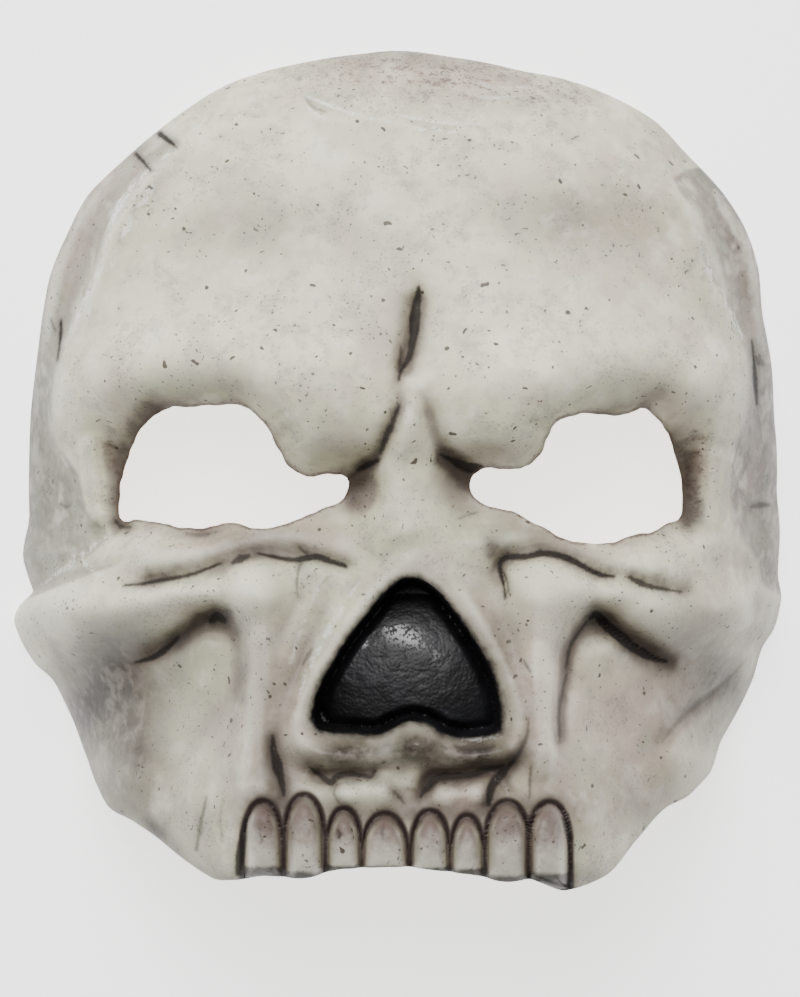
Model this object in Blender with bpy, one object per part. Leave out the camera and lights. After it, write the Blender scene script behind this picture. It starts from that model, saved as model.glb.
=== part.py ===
"""Skull mask without a lower jaw: one moulded latex skin with two eye holes, a sunken nose and a row of teeth.

The face is worked out in a frame of its own: X to the viewer's right, Y up the forehead, Z out of the face, with
the nose bridge at the origin. Its height over X and Y is a dome inside the mask's outline, plus mounds, ridges and
creases. The inner skin is the outer one worn down by a ball as big as the wall. The finished skin is then leant
back, so that it lies face up on the flat rim of its forehead and temples, with the tooth row held above.
"""

import math

import bpy
import numpy as np
from mathutils.geometry import delaunay_2d_cdt

# Driving sizes, in metres
MASK_WIDTH = 0.205
MASK_LENGTH = 0.2087  # from the crown to the tooth row, along the floor that the rim lies on
FACE_DEPTH = 0.076  # from the rim's plane to the brow, at eye level
RELIEF = 0.010  # height that the tables below give as 1.0
WALL = 0.0024
THIN_WALL = 0.0012  # least wall under a crease
LEFT_EYE_WIDTH = 0.061
LEFT_EYE_HEIGHT = 0.0325
RIGHT_EYE_WIDTH = 0.056
RIGHT_EYE_HEIGHT = 0.035
SOCKET_DEPTH = 0.0065  # how far the skin falls back at an eye hole
SOCKET_MARGIN = 0.012  # width of skin that falls back
BROW_ROLL = 0.0045  # how far the brow turns under at the top of an eye hole
BROW_MARGIN = 0.008  # width of skin that turns under there
NOSE_WIDTH = 0.050
NOSE_HEIGHT = 0.043
NOSE_DEPTH = 0.0125  # from the lip to the floor of the nose hollow
NOSE_WALL_RUN = 0.0022  # width of the hollow's steep side
NOSE_DOME = 0.0105  # how far the floor swells out to clear the wearer's nose
TOOTH_RISE = 0.0026
TOOTH_GROOVE = 0.0010
GROOVE_REACH = 0.0009  # half breadth of the groove round a tooth
TOOTH_ROUND = 0.0030  # width over which a tooth rises
RIM_LEAN = math.radians(14)  # between the face and the plane of its rim
FACE_SHARE = 1.0565  # the face's own height as a share of its length along the floor, which the lean shortens

HALF_WIDTH = MASK_WIDTH / 2
HALF_HEIGHT = FACE_SHARE * MASK_LENGTH / 2
RIM_SLOPE = math.tan(RIM_LEAN)

# Spacing of the skin's points: along the outline and the holes, along drawn lines, and over the rest of the skin
EDGE_STEP = 0.0038
LINE_STEP = 0.0034
SKIN_STEP = 0.0041
# Rings of points inside the outline, as shares of its radius
RINGS = (0.984, 0.955, 0.915, 0.865, 0.805)

# Outline, clockwise from the crown. x and y are shares of half the mask's width and height, lift is how far the
# edge stands above the rim's plane as a share of FACE_DEPTH, and fullness how squarely the dome meets the edge.
OUTLINE = (
    (-0.001, 1.012, 0.00, 3.0), (0.149, 0.996, 0.00, 3.0), (0.304, 0.968, 0.00, 3.0), (0.433, 0.944, 0.00, 3.0),
    (0.555, 0.903, 0.00, 3.0), (0.664, 0.846, 0.00, 3.0), (0.758, 0.758, 0.00, 3.0), (0.839, 0.679, 0.00, 3.0),
    (0.895, 0.602, 0.00, 3.0), (0.935, 0.502, 0.00, 3.0), (0.951, 0.376, 0.00, 3.0), (0.973, 0.270, 0.00, 3.0),
    (0.986, 0.106, 0.00, 3.0), (0.992, -0.030, 0.00, 3.0), (1.001, -0.142, 0.00, 3.0), (0.997, -0.245, 0.00, 3.0),
    (1.006, -0.313, 0.00, 3.0), (0.988, -0.382, 0.00, 3.0), (0.960, -0.424, 0.00, 3.0), (0.932, -0.510, 0.00, 3.0),
    (0.892, -0.585, 0.06, 3.0), (0.849, -0.650, 0.20, 3.0), (0.806, -0.737, 0.40, 3.0), (0.762, -0.776, 0.51, 3.0),
    (0.689, -0.812, 0.64, 3.5), (0.616, -0.883, 0.78, 4.5), (0.529, -0.967, 0.94, 6.0), (0.434, -0.996, 1.06, 9.0),
    (0.336, -0.967, 1.13, 12.0), (0.279, -0.971, 1.17, 14.0), (0.180, -0.952, 1.20, 14.0),
    (-0.001, -0.934, 1.22, 14.0), (-0.136, -0.939, 1.21, 14.0), (-0.238, -0.962, 1.18, 14.0),
    (-0.339, -0.959, 1.11, 12.0), (-0.414, -0.972, 1.03, 9.0), (-0.475, -0.970, 0.94, 6.0),
    (-0.546, -0.931, 0.83, 4.5), (-0.629, -0.874, 0.69, 3.5), (-0.683, -0.843, 0.60, 3.0),
    (-0.748, -0.812, 0.49, 3.0), (-0.781, -0.765, 0.38, 3.0), (-0.818, -0.685, 0.20, 3.0),
    (-0.861, -0.588, 0.06, 3.0), (-0.903, -0.512, 0.00, 3.0), (-0.958, -0.460, 0.00, 3.0),
    (-0.991, -0.406, 0.00, 3.0), (-1.006, -0.367, 0.00, 3.0), (-0.993, -0.326, 0.00, 3.0),
    (-0.956, -0.289, 0.00, 3.0), (-0.979, -0.220, 0.00, 3.0), (-0.964, -0.099, 0.00, 3.0),
    (-0.963, 0.028, 0.00, 3.0), (-0.954, 0.173, 0.00, 3.0), (-0.940, 0.275, 0.00, 3.0), (-0.923, 0.386, 0.00, 3.0),
    (-0.901, 0.482, 0.00, 3.0), (-0.861, 0.569, 0.00, 3.0), (-0.793, 0.679, 0.00, 3.0), (-0.717, 0.746, 0.00, 3.0),
    (-0.633, 0.813, 0.00, 3.0), (-0.535, 0.880, 0.00, 3.0), (-0.439, 0.932, 0.00, 3.0), (-0.350, 0.961, 0.00, 3.0),
    (-0.226, 0.987, 0.00, 3.0), (-0.110, 1.003, 0.00, 3.0),
)

# Height of the face's front along its middle: y as a share of half the height, height as a share of FACE_DEPTH
PROFILE = (
    (-1.10, 0.92), (-0.91, 0.92), (-0.73, 0.89), (-0.45, 0.87), (-0.18, 0.87),
    (0.00, 0.88), (0.09, 0.92), (0.27, 0.95), (0.55, 0.97), (1.10, 0.97),
)

# Mounds and dips: name, x, y, reach across, reach up, turn in degrees, rise as a share of RELIEF, squareness.
# Places and reaches are shares of half the mask's width and height.
MOUNDS = (
    ("left brow lobe", -0.167, 0.165, 0.184, 0.156, 0, 0.95, 1.5),
    ("right brow lobe", 0.241, 0.165, 0.184, 0.152, 0, 0.95, 1.5),
    ("left temple boss", -0.835, 0.198, 0.092, 0.119, 0, 0.55, 1.2),
    ("right temple boss", 0.828, 0.174, 0.092, 0.109, 0, 0.55, 1.2),
    ("left forehead boss", -0.440, 0.762, 0.268, 0.142, 20, 0.18, 1.0),
    ("right forehead boss", 0.491, 0.762, 0.268, 0.142, -20, 0.18, 1.0),
    ("left forehead dip", -0.346, 0.554, 0.255, 0.081, 0, -0.26, 1.0),
    ("right forehead dip", 0.511, 0.558, 0.230, 0.081, 0, -0.28, 1.0),
    ("left temple hollow", -0.856, 0.426, 0.077, 0.166, 0, -0.50, 1.0),
    ("right temple hollow", 0.904, 0.426, 0.066, 0.166, 0, -0.50, 1.0),
    ("left inner eye pit", -0.080, -0.044, 0.051, 0.052, 0, -0.40, 1.0),
    ("right inner eye pit", 0.147, -0.025, 0.046, 0.052, 0, -0.45, 1.0),
    ("left outer eye hollow", -0.738, 0.039, 0.046, 0.142, 0, -0.35, 1.0),
    ("right outer eye hollow", 0.771, 0.015, 0.041, 0.142, 0, -0.30, 1.0),
    ("left cheek knob", -0.356, -0.286, 0.077, 0.064, 0, 0.55, 1.4),
    ("right cheek knob", 0.376, -0.281, 0.097, 0.078, 0, 0.65, 1.4),
    ("left hollow under cheekbone", -0.483, -0.352, 0.077, 0.038, -20, -0.55, 1.0),
    ("right hollow under cheekbone", 0.527, -0.362, 0.087, 0.038, 35, -0.60, 1.0),
    ("left cheek hollow", -0.560, -0.594, 0.189, 0.209, 0, -0.90, 1.2),
    ("right cheek hollow", 0.573, -0.594, 0.158, 0.204, 0, -0.85, 1.2),
    ("left cheek end", -0.899, -0.352, 0.112, 0.081, 0, 0.40, 1.2),
    ("right cheek end", 0.894, -0.333, 0.112, 0.081, 0, 0.40, 1.2),
    ("left jaw swell", -0.728, -0.712, 0.056, 0.062, 0, 0.20, 1.0),
    ("right jaw swell", 0.746, -0.703, 0.056, 0.057, 0, 0.25, 1.0),
    ("nose spine", 0.047, -0.632, 0.061, 0.036, 0, 0.30, 1.0),
    ("left root swell", -0.124, -0.760, 0.041, 0.033, 0, 0.22, 1.2),
    ("left middle root swell", -0.037, -0.760, 0.041, 0.033, 0, 0.22, 1.2),
    ("right middle root swell", 0.121, -0.765, 0.041, 0.031, 0, 0.18, 1.2),
    ("right root swell", 0.203, -0.760, 0.041, 0.031, 0, 0.18, 1.2),
)

# Ridges: name, rise as a share of RELIEF, half breadth as a share of half the width, and the points of their line
RIDGES = (
    ("left brow", 0.75, 0.110, ((-0.822, 0.188), (-0.669, 0.236), (-0.453, 0.250), (-0.249, 0.205))),
    ("right brow", 0.75, 0.110, ((0.312, 0.205), (0.516, 0.245), (0.695, 0.245), (0.835, 0.188))),
    ("left temple line", 0.24, 0.033, ((-0.590, 0.781), (-0.703, 0.632), (-0.779, 0.466), (-0.845, 0.300))),
    ("right temple line", 0.24, 0.033, ((0.741, 0.677), (0.787, 0.554), (0.848, 0.430), (0.889, 0.300))),
    ("nose bridge", 0.50, 0.069, ((0.032, 0.181), (0.011, 0.051), (0.006, -0.079), (0.037, -0.191))),
    ("left lower lid", 0.32, 0.043, ((-0.703, -0.181), (-0.542, -0.191), (-0.356, -0.172), (-0.167, -0.124))),
    ("right lower lid", 0.32, 0.046,
     ((0.241, -0.134), (0.376, -0.174), (0.547, -0.215), (0.720, -0.181), (0.843, -0.162))),
    ("left cheekbone", 0.85, 0.078, ((-0.912, -0.352), (-0.759, -0.328), (-0.593, -0.305), (-0.422, -0.290))),
    ("right cheekbone", 0.80, 0.082, ((0.491, -0.295), (0.657, -0.324), (0.810, -0.343), (0.937, -0.319))),
    ("left pillar", 0.62, 0.055,
     ((-0.356, -0.314), (-0.343, -0.435), (-0.361, -0.577), (-0.376, -0.708), (-0.371, -0.807))),
    ("right pillar", 0.62, 0.055, ((0.376, -0.314), (0.358, -0.447), (0.366, -0.594), (0.381, -0.743))),
    ("left nose lip", 0.30, 0.033,
     ((0.017, -0.215), (-0.080, -0.309), (-0.167, -0.428), (-0.244, -0.547), (-0.249, -0.632), (-0.172, -0.677),
      (-0.045, -0.684))),
    ("right nose lip", 0.26, 0.030,
     ((0.124, -0.238), (0.226, -0.371), (0.287, -0.494), (0.310, -0.594), (0.297, -0.660), (0.251, -0.694))),
    ("lower nose lip", 0.30, 0.038,
     ((-0.203, -0.665), (-0.075, -0.679), (0.047, -0.660), (0.164, -0.679), (0.282, -0.660))),
    ("philtrum", 0.18, 0.031, ((0.047, -0.656), (0.040, -0.760))),
    ("left outer orbit rim", 0.30, 0.041, ((-0.815, 0.098), (-0.779, -0.020), (-0.764, -0.139))),
    ("right outer orbit rim", 0.30, 0.041, ((0.828, 0.075), (0.802, -0.044), (0.792, -0.151))),
    ("brow cleft", -0.45, 0.032, ((0.050, 0.440), (0.052, 0.378), (0.040, 0.324), (0.024, 0.264), (0.009, 0.207))),
    ("left brow fold", -0.28, 0.028, ((0.004, 0.165), (-0.019, 0.094), (-0.052, 0.037), (-0.116, 0.004))),
    ("right brow fold", -0.28, 0.028, ((0.068, 0.174), (0.093, 0.094), (0.124, 0.032), (0.185, -0.006))),
    ("left lid crease", -0.30, 0.028,
     ((-0.703, -0.271), (-0.606, -0.260), (-0.493, -0.241), (-0.361, -0.191), (-0.193, -0.203))),
    ("right lid crease", -0.32, 0.028,
     ((0.269, -0.286), (0.256, -0.234), (0.302, -0.198), (0.376, -0.188), (0.496, -0.238), (0.736, -0.288))),
    ("left cheek crease", -0.30, 0.028, ((-0.437, -0.333), (-0.493, -0.357), (-0.555, -0.400), (-0.687, -0.461))),
    ("right cheek crease", -0.34, 0.028, ((0.476, -0.357), (0.522, -0.357), (0.573, -0.390), (0.695, -0.456))),
    ("right pillar crease", -0.20, 0.028, ((0.481, -0.362), (0.448, -0.407), (0.414, -0.570), (0.420, -0.656))),
    ("left fossa", -0.26, 0.026, ((-0.221, -0.698), (-0.182, -0.724), (-0.131, -0.720), (-0.080, -0.720))),
    ("right fossa", -0.30, 0.026, ((0.065, -0.765), (0.088, -0.727), (0.154, -0.720), (0.282, -0.694))),
)

# Outlines of the holes, as shares of half their own width and height, clockwise from the left
LEFT_EYE = (
    (-1.00, -0.60), (-0.96, -0.17), (-0.85, 0.47), (-0.62, 0.93), (-0.30, 0.97), (0.06, 1.00), (0.28, 0.70),
    (0.42, 0.18), (0.63, -0.13), (0.93, -0.10), (0.99, -0.37), (0.82, -0.64), (0.51, -0.87), (0.22, -1.00),
    (-0.02, -0.90), (-0.32, -1.00), (-0.78, -0.86), (-0.95, -0.86),
)
RIGHT_EYE = (
    (-1.00, -0.17), (-0.91, 0.10), (-0.53, 0.09), (-0.32, 0.43), (-0.18, 0.81), (0.10, 0.92), (0.48, 0.92),
    (0.65, 1.00), (0.85, 0.63), (0.96, 0.12), (1.00, -0.41), (0.97, -0.64), (0.75, -0.80), (0.33, -0.99),
    (-0.07, -0.95), (-0.37, -0.71), (-0.67, -0.50), (-0.92, -0.38),
)
NOSE = (
    (-0.07, 0.95), (-0.27, 0.75), (-0.44, 0.51), (-0.61, 0.26), (-0.78, -0.06), (-0.91, -0.34), (-0.99, -0.66),
    (-0.96, -0.84), (-0.84, -0.90), (-0.61, -0.92), (-0.40, -0.94), (-0.26, -0.92), (-0.07, -0.81), (0.07, -0.77),
    (0.24, -0.82), (0.38, -0.92), (0.55, -0.97), (0.76, -0.96), (0.95, -0.91), (0.99, -0.77), (0.97, -0.50),
    (0.92, -0.26), (0.81, 0.02), (0.66, 0.31), (0.46, 0.63), (0.31, 0.83), (0.13, 0.96),
)
# Each hole's middle, as shares of half the mask's width and height, its own width and height, and its outline
LEFT_EYE_HOLE = (-0.421, 0.010, LEFT_EYE_WIDTH, LEFT_EYE_HEIGHT, LEFT_EYE)
RIGHT_EYE_HOLE = (0.459, -0.011, RIGHT_EYE_WIDTH, RIGHT_EYE_HEIGHT, RIGHT_EYE)
NOSE_HOLLOW = (0.0237, -0.4405, NOSE_WIDTH, NOSE_HEIGHT, NOSE)

# Teeth, from left to right: middle, half width, root and tip, as shares of half the mask's width and height
TEETH = (
    (-0.343, 0.047, -0.784, -0.945), (-0.237, 0.048, -0.769, -0.959), (-0.136, 0.043, -0.802, -0.938),
    (-0.032, 0.057, -0.814, -0.938), (0.083, 0.047, -0.807, -0.944), (0.177, 0.041, -0.819, -0.950),
    (0.279, 0.053, -0.784, -0.971), (0.386, 0.050, -0.786, -0.964),
)
TOOTH_ARCH = 0.095  # how far the sides of a root lie below its top, as a share of half the height

LATEX = (0.70, 0.69, 0.64, 1.0)


def eased(share):
    """0 below 0, 1 above 1, and a smooth step between."""
    share = np.clip(share, 0.0, 1.0)
    return share * share * (3.0 - 2.0 * share)


def through(knots, values, at):
    """Smooth curve through the values that never swings past them (a monotone cubic)."""
    knots = np.asarray(knots, float)
    values = np.asarray(values, float)
    step = np.diff(knots)
    slope = np.diff(values) / step
    before, after = slope[:-1], slope[1:]
    same_way = before * after > 0
    tangent = np.zeros(len(knots))
    tangent[1:-1] = np.where(same_way, 2 * before * after / np.where(same_way, before + after, 1.0), 0.0)
    span = np.clip(np.searchsorted(knots, at) - 1, 0, len(step) - 1)
    t = (at - knots[span]) / step[span]
    rise = values[span] + (values[span + 1] - values[span]) * t * t * (3 - 2 * t)
    return rise + step[span] * t * (1 - t) * (tangent[span] * (1 - t) - tangent[span + 1] * t)


def drawn(points, steps=6, closed=False):
    """Points along a smooth line through the given ones (Catmull-Rom)."""
    points = np.asarray(points, float)
    if closed:
        padded = np.vstack([points[-1], points, points[:2]])
    else:
        padded = np.vstack([2 * points[0] - points[1], points, 2 * points[-1] - points[-2]])
    t = np.linspace(0, 1, steps, endpoint=False)[:, None]
    line = []
    for a, b, c, d in zip(padded, padded[1:], padded[2:], padded[3:]):
        line.append(0.5 * (2 * b + (c - a) * t + (2 * a - 5 * b + 4 * c - d) * t**2 + (3 * b - a - 3 * c + d) * t**3))
    if not closed:
        line.append(points[-1:])
    return np.vstack(line)


def evenly(line, step, closed=False):
    """The same line with points at even steps."""
    line = np.vstack([line, line[:1]]) if closed else line
    gone = np.append(0, np.cumsum(np.hypot(*np.diff(line, axis=0).T)))
    count = max(2, round(gone[-1] / step))
    at = np.linspace(0, gone[-1], count, endpoint=False) if closed else np.linspace(0, gone[-1], count + 1)
    return np.column_stack([np.interp(at, gone, line[:, 0]), np.interp(at, gone, line[:, 1])])


def beside(line, gap, closed=False):
    """A line moved sideways, to its left."""
    padded = np.vstack([line[-1], line, line[0]]) if closed else np.vstack([line[0], line, line[-1]])
    run = padded[2:] - padded[:-2]
    run /= np.hypot(run[:, 0], run[:, 1])[:, None]
    return line + gap * np.column_stack([-run[:, 1], run[:, 0]])


def nearest_on(line, x, y, closed=False):
    """Distance from each point to the line, and how far along it the nearest point lies, from 0 to 1."""
    starts = line if closed else line[:-1]
    run = (np.roll(line, -1, axis=0) if closed else line[1:]) - starts
    from_x, from_y = x[..., None] - starts[:, 0], y[..., None] - starts[:, 1]
    share = np.clip((from_x * run[:, 0] + from_y * run[:, 1]) / (run**2).sum(axis=1), 0, 1)
    distance = np.hypot(from_x - share * run[:, 0], from_y - share * run[:, 1])
    best = distance.argmin(axis=-1)[..., None]
    along = (best + np.take_along_axis(share, best, -1))[..., 0] / len(starts)
    return np.take_along_axis(distance, best, -1)[..., 0], along


def hole_line(hole):
    """A hole's outline in metres, as a closed line."""
    middle_x, middle_y, width, height, outline = hole
    shares = drawn(outline, 3, closed=True)
    return np.column_stack(
        [middle_x * HALF_WIDTH + shares[:, 0] * width / 2, middle_y * HALF_HEIGHT + shares[:, 1] * height / 2]
    )


def outside(line, x, y):
    """Distance outside a closed line, negative inside it."""
    distance, _ = nearest_on(line, x, y, closed=True)
    after = np.roll(line, -1, axis=0)
    run = after - line
    rise = np.where(run[:, 1] == 0, 1.0, run[:, 1])
    spans = (line[:, 1] > y[..., None]) != (after[:, 1] > y[..., None])
    reached = x[..., None] < line[:, 0] + (y[..., None] - line[:, 1]) * run[:, 0] / rise
    inside = (spans & reached).sum(axis=-1) % 2 == 1
    return np.where(inside, -distance, distance)


EYE_LINES = (hole_line(LEFT_EYE_HOLE), hole_line(RIGHT_EYE_HOLE))
NOSE_LINE = hole_line(NOSE_HOLLOW)


def edge_curves():
    """The outline as columns over its angle round the nose bridge, with both ends wrapped once round."""
    rows = np.array(OUTLINE)
    x, y = rows[:, 0] * HALF_WIDTH, rows[:, 1] * HALF_HEIGHT
    angle = np.arctan2(y, x)
    order = np.argsort(angle)
    columns = np.column_stack([angle, np.hypot(x, y), rows[:, 2] * FACE_DEPTH, rows[:, 3]])[order]
    turn = np.array([2 * math.pi, 0, 0, 0])
    return np.vstack([columns[-6:] - turn, columns, columns[:6] + turn])


EDGE = edge_curves()
# Turns in degrees and weights of the outline's mean over a few degrees
EDGE_SOFTENING = ((-12, 0.15), (-6, 0.22), (0, 0.26), (6, 0.22), (12, 0.15))


def edge_at(angle):
    """Radius, lift above the rim's plane and fullness of the outline at an angle round the nose bridge."""
    return tuple(through(EDGE[:, 0], EDGE[:, column], angle) for column in (1, 2, 3))


def mound(x, y, row):
    """A bell over a turned ellipse: rise * exp(-(distance ^ 2) ^ squareness)."""
    _, middle_x, middle_y, reach_x, reach_y, turn, rise, squareness = row
    across, up = x / HALF_WIDTH - middle_x, y / HALF_HEIGHT - middle_y
    cosine, sine = math.cos(math.radians(turn)), math.sin(math.radians(turn))
    a = (across * cosine + up * sine) / reach_x
    b = (up * cosine - across * sine) / reach_y
    return rise * RELIEF * np.exp(-((a * a + b * b) ** squareness))


def ridge(x, y, row):
    """A bell across a drawn line, rise * exp(-(distance / breadth) ^ 2), which fades out at both ends."""
    _, rise, breadth, points = row
    distance, along = nearest_on(drawn(points), x / HALF_WIDTH, y / HALF_HEIGHT)
    fade = 0.35 + 0.65 * eased(np.minimum(along, 1 - along) / 0.18)
    return rise * RELIEF * fade * np.exp(-((distance / breadth) ** 2))


def dome(x, y):
    """The head under the forms: rim height + (front - rim height) * (1 - share of the radius ^ fullness) ^ 0.8."""
    angle = np.arctan2(y, x)
    radius, lift, fullness = edge_at(angle)
    share = np.hypot(x, y) / radius
    # The outline's small bends die out away from the edge.
    soft_radius = sum(weight * edge_at(angle + math.radians(turn))[0] for turn, weight in EDGE_SOFTENING)
    share += (np.hypot(x, y) / soft_radius - share) * (1 - eased((share - 0.6) / 0.4))
    rim = RIM_SLOPE * y + lift
    front = FACE_DEPTH * through(*zip(*PROFILE), y / HALF_HEIGHT)
    inner = np.clip(1 - np.minimum(share, 1.0) ** fullness, 0, 1) ** 0.8
    return rim + (front - rim) * (inner - 4.0 * np.maximum(share - 1.0, 0.0)), share


def sockets(x, y):
    """How far the skin falls back towards the eye holes, and how far the brows above them turn under."""
    fall = np.zeros(x.shape)
    for line in EYE_LINES:
        distance = outside(line, x, y)
        above = eased(1.5 * (outside(line, x, y + 0.1 * WALL) - distance) / (0.1 * WALL) - 0.1)
        socket = SOCKET_DEPTH * (1 - eased(distance / SOCKET_MARGIN)) * (distance < SOCKET_MARGIN)
        roll = BROW_ROLL * np.clip(1 - distance / BROW_MARGIN, 0, 1) ** 2
        fall += socket * (1 - 0.75 * above) + roll * above
    return fall


def nose_hollow(x, y):
    """The nose hollow: a steep side, then a floor that swells forward over the wearer's nose."""
    distance = outside(NOSE_LINE, x, y)
    middle_x, middle_y, width, height, _ = NOSE_HOLLOW
    a = (x - middle_x * HALF_WIDTH - 0.03 * width) / (0.52 * width)
    b = (y - middle_y * HALF_HEIGHT + 0.12 * height) / (0.50 * height)
    swell = NOSE_DOME * np.sqrt(np.clip(1 - a * a - b * b, 0, 1)) * eased(-distance / (2 * NOSE_WALL_RUN))
    return (swell - NOSE_DEPTH) * eased(-distance / NOSE_WALL_RUN)


def teeth(x, y):
    """Pointed arches for roots and straight sides below, each raised inside a groove."""
    total = np.zeros(x.shape)
    groove = np.zeros(x.shape)
    for middle, half, root, tip in TEETH:
        across = np.abs(x / HALF_WIDTH - middle) / half
        top = root - TOOTH_ARCH * (1 - np.sqrt(1 - np.minimum(across, 1.0) ** 2))
        side = half * HALF_WIDTH * (1 - across)
        down = (top - y / HALF_HEIGHT) * HALF_HEIGHT * 0.8
        up = (y / HALF_HEIGHT - tip) * HALF_HEIGHT + TOOTH_ROUND
        inside = np.minimum(np.minimum(side, down), up)
        total = np.maximum(total, TOOTH_RISE * np.sqrt(eased(inside / TOOTH_ROUND)))
        groove = np.maximum(groove, np.exp(-((inside / GROOVE_REACH) ** 2)))
    return total - TOOTH_GROOVE * groove


def grounded(x, y):
    """1 where the mask's edge lies on the floor, 0 where it stands clear of it."""
    _, lift, _ = edge_at(np.arctan2(y, x))
    return 1 - eased(lift / (0.15 * FACE_DEPTH))


def skin_height(x, y):
    """Height of the outer skin over the face's own X and Y."""
    height, share = dome(x, y)
    forms = sum(mound(x, y, row) for row in MOUNDS) + sum(ridge(x, y, row) for row in RIDGES)
    forms = forms - sockets(x, y) + nose_hollow(x, y) + teeth(x, y)
    return height + forms * (1 - grounded(x, y) * (1 - eased((1 - share) / 0.10)))


def worn_height(x, y):
    """The outer skin worn down by a ball of the wall's size, which leaves the inner skin."""
    lowest = skin_height(x, y) - WALL
    for reach, count in ((0.55, 6), (0.95, 10)):
        for step in range(count):
            turn = 2 * math.pi * step / count
            away_x, away_y = reach * WALL * math.cos(turn), reach * WALL * math.sin(turn)
            drop = WALL * math.sqrt(1 - reach * reach)
            lowest = np.minimum(lowest, skin_height(x + away_x, y + away_y) - drop)
    return lowest


def outline_line(share=1.0, step=EDGE_STEP):
    """The mask's outline, or a ring inside it."""
    angle = np.linspace(-math.pi, math.pi, 720, endpoint=False)
    radius = share * edge_at(angle)[0]
    return evenly(np.column_stack([radius * np.cos(angle), radius * np.sin(angle)]), step, closed=True)


def tooth_lines(middle, half, root, tip):
    """A tooth's groove, its shoulder inside the groove, and the line down its middle."""
    lines = []
    for inset in (0.0, 0.55 * TOOTH_ROUND):
        across = np.array([-1, -1, -1, -1, -0.8, -0.45, 0, 0.45, 0.8, 1, 1, 1, 1])
        foot = root - TOOTH_ARCH
        down = np.array([0, 1, 2, 3]) / 3
        up = np.concatenate([tip + down * (foot - tip), root - TOOTH_ARCH * (1 - np.sqrt(1 - across[4:9] ** 2))])
        up = np.concatenate([up, (tip + down * (foot - tip))[::-1]])
        lines.append(np.column_stack([middle * HALF_WIDTH + across * (half * HALF_WIDTH - inset),
                                      up * HALF_HEIGHT - inset]))
    levels = np.linspace(tip, root - 0.45 * TOOTH_ARCH, 4)
    lines.append(np.column_stack([np.full(4, middle * HALF_WIDTH), levels * HALF_HEIGHT]))
    return lines


def clear_of(points, others, gap):
    """Those of the points that keep a gap from all the others."""
    apart = np.hypot(points[:, 0, None] - others[:, 0], points[:, 1, None] - others[:, 1])
    return points[apart.min(axis=1) >= gap]


def net():
    """The skin's points over X and Y, and its triangles: edges follow the outlines, creases and teeth."""
    borders = [outline_line(), *(evenly(line, EDGE_STEP, closed=True) for line in EYE_LINES)]
    borders.append(evenly(NOSE_LINE, EDGE_STEP, closed=True))
    borders.append(beside(evenly(NOSE_LINE, EDGE_STEP, closed=True), NOSE_WALL_RUN, closed=True))
    points = np.vstack(borders)
    edges = []
    for border in borders:
        first = sum(len(earlier) for earlier in borders[: len(edges)])
        edges.append([(first + k, first + (k + 1) % len(border)) for k in range(len(border))])
    extra = [line for row in TEETH for line in tooth_lines(*row)]
    extra.append(beside(borders[3], -WALL, closed=True))
    extra += [beside(line, 0.75 * EDGE_STEP, closed=True) for line in borders[1:3]]
    for _, _, breadth, corners in RIDGES:
        line = evenly(drawn(corners) * (HALF_WIDTH, HALF_HEIGHT), LINE_STEP)
        extra.append(line)
        if breadth < 0.05:
            extra += [beside(line, side * 1.15 * breadth * HALF_WIDTH) for side in (-1, 1)]
    for line in extra:
        points = np.vstack([points, clear_of(line, points, 0.5 * LINE_STEP)])
    for share in RINGS:
        points = np.vstack([points, clear_of(outline_line(share, SKIN_STEP), points, 0.55 * SKIN_STEP)])
    across = np.arange(-HALF_WIDTH, HALF_WIDTH, SKIN_STEP)
    up = np.arange(-HALF_HEIGHT, HALF_HEIGHT, SKIN_STEP * math.sqrt(3) / 2)
    x, y = np.meshgrid(across, up)
    x[::2] += SKIN_STEP / 2
    fill = np.column_stack([x.ravel(), y.ravel()])
    fill = fill[np.hypot(*fill.T) < RINGS[-1] * edge_at(np.arctan2(fill[:, 1], fill[:, 0]))[0]]
    points = np.vstack([points, clear_of(fill, points, 0.62 * SKIN_STEP)])
    inside = np.ones(len(points), bool)
    start = sum(len(border) for border in borders)
    for line in EYE_LINES:
        inside[start:] &= outside(line, *points[start:].T) > 0
    inside[start:] &= np.hypot(*points[start:].T) < 0.99 * edge_at(np.arctan2(*points[start:, ::-1].T))[0]
    points = points[inside]
    pairs = [pair for loop in edges for pair in loop]
    flat, _, faces, origins, _, _ = delaunay_2d_cdt(points.tolist(), pairs, [], 0, 1e-7, True)
    flat = np.array([tuple(point) for point in flat])
    triangles = np.array([tuple(face) for face in faces])
    middle = flat[triangles].mean(axis=1)
    kept = np.hypot(*middle.T) < edge_at(np.arctan2(middle[:, 1], middle[:, 0]))[0]
    kept &= outside(borders[0], *middle.T) < 0
    for line in borders[1:3]:
        kept &= outside(line, *middle.T) > 0
    return flat[:, 0], flat[:, 1], triangles[kept]


def inner_places(x, y):
    """Where the inner skin's points lie: under the outer ones, but drawn in near the edge by the wall."""
    radius, _, _ = edge_at(np.arctan2(y, x))
    share = np.hypot(x, y) / radius
    draw_in = WALL * (0.35 + 0.75 * grounded(x, y)) * eased((share - 0.86) / 0.14)
    scale = 1 - draw_in / radius
    return x * scale, y * scale


def edge_loops(triangles):
    """Directed edges that only one triangle has: the mask's edge and the rims of its eye holes."""
    edges = np.vstack([triangles[:, [0, 1]], triangles[:, [1, 2]], triangles[:, [2, 0]]])
    known = {tuple(edge) for edge in edges.tolist()}
    return [edge for edge in known if (edge[1], edge[0]) not in known]


def leant(points):
    """Turns the face about X so that the plane of its rim becomes the floor."""
    cosine, sine = math.cos(RIM_LEAN), math.sin(RIM_LEAN)
    x, y, z = points.T
    return np.column_stack([x, y * cosine + z * sine, z * cosine - y * sine])


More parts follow.
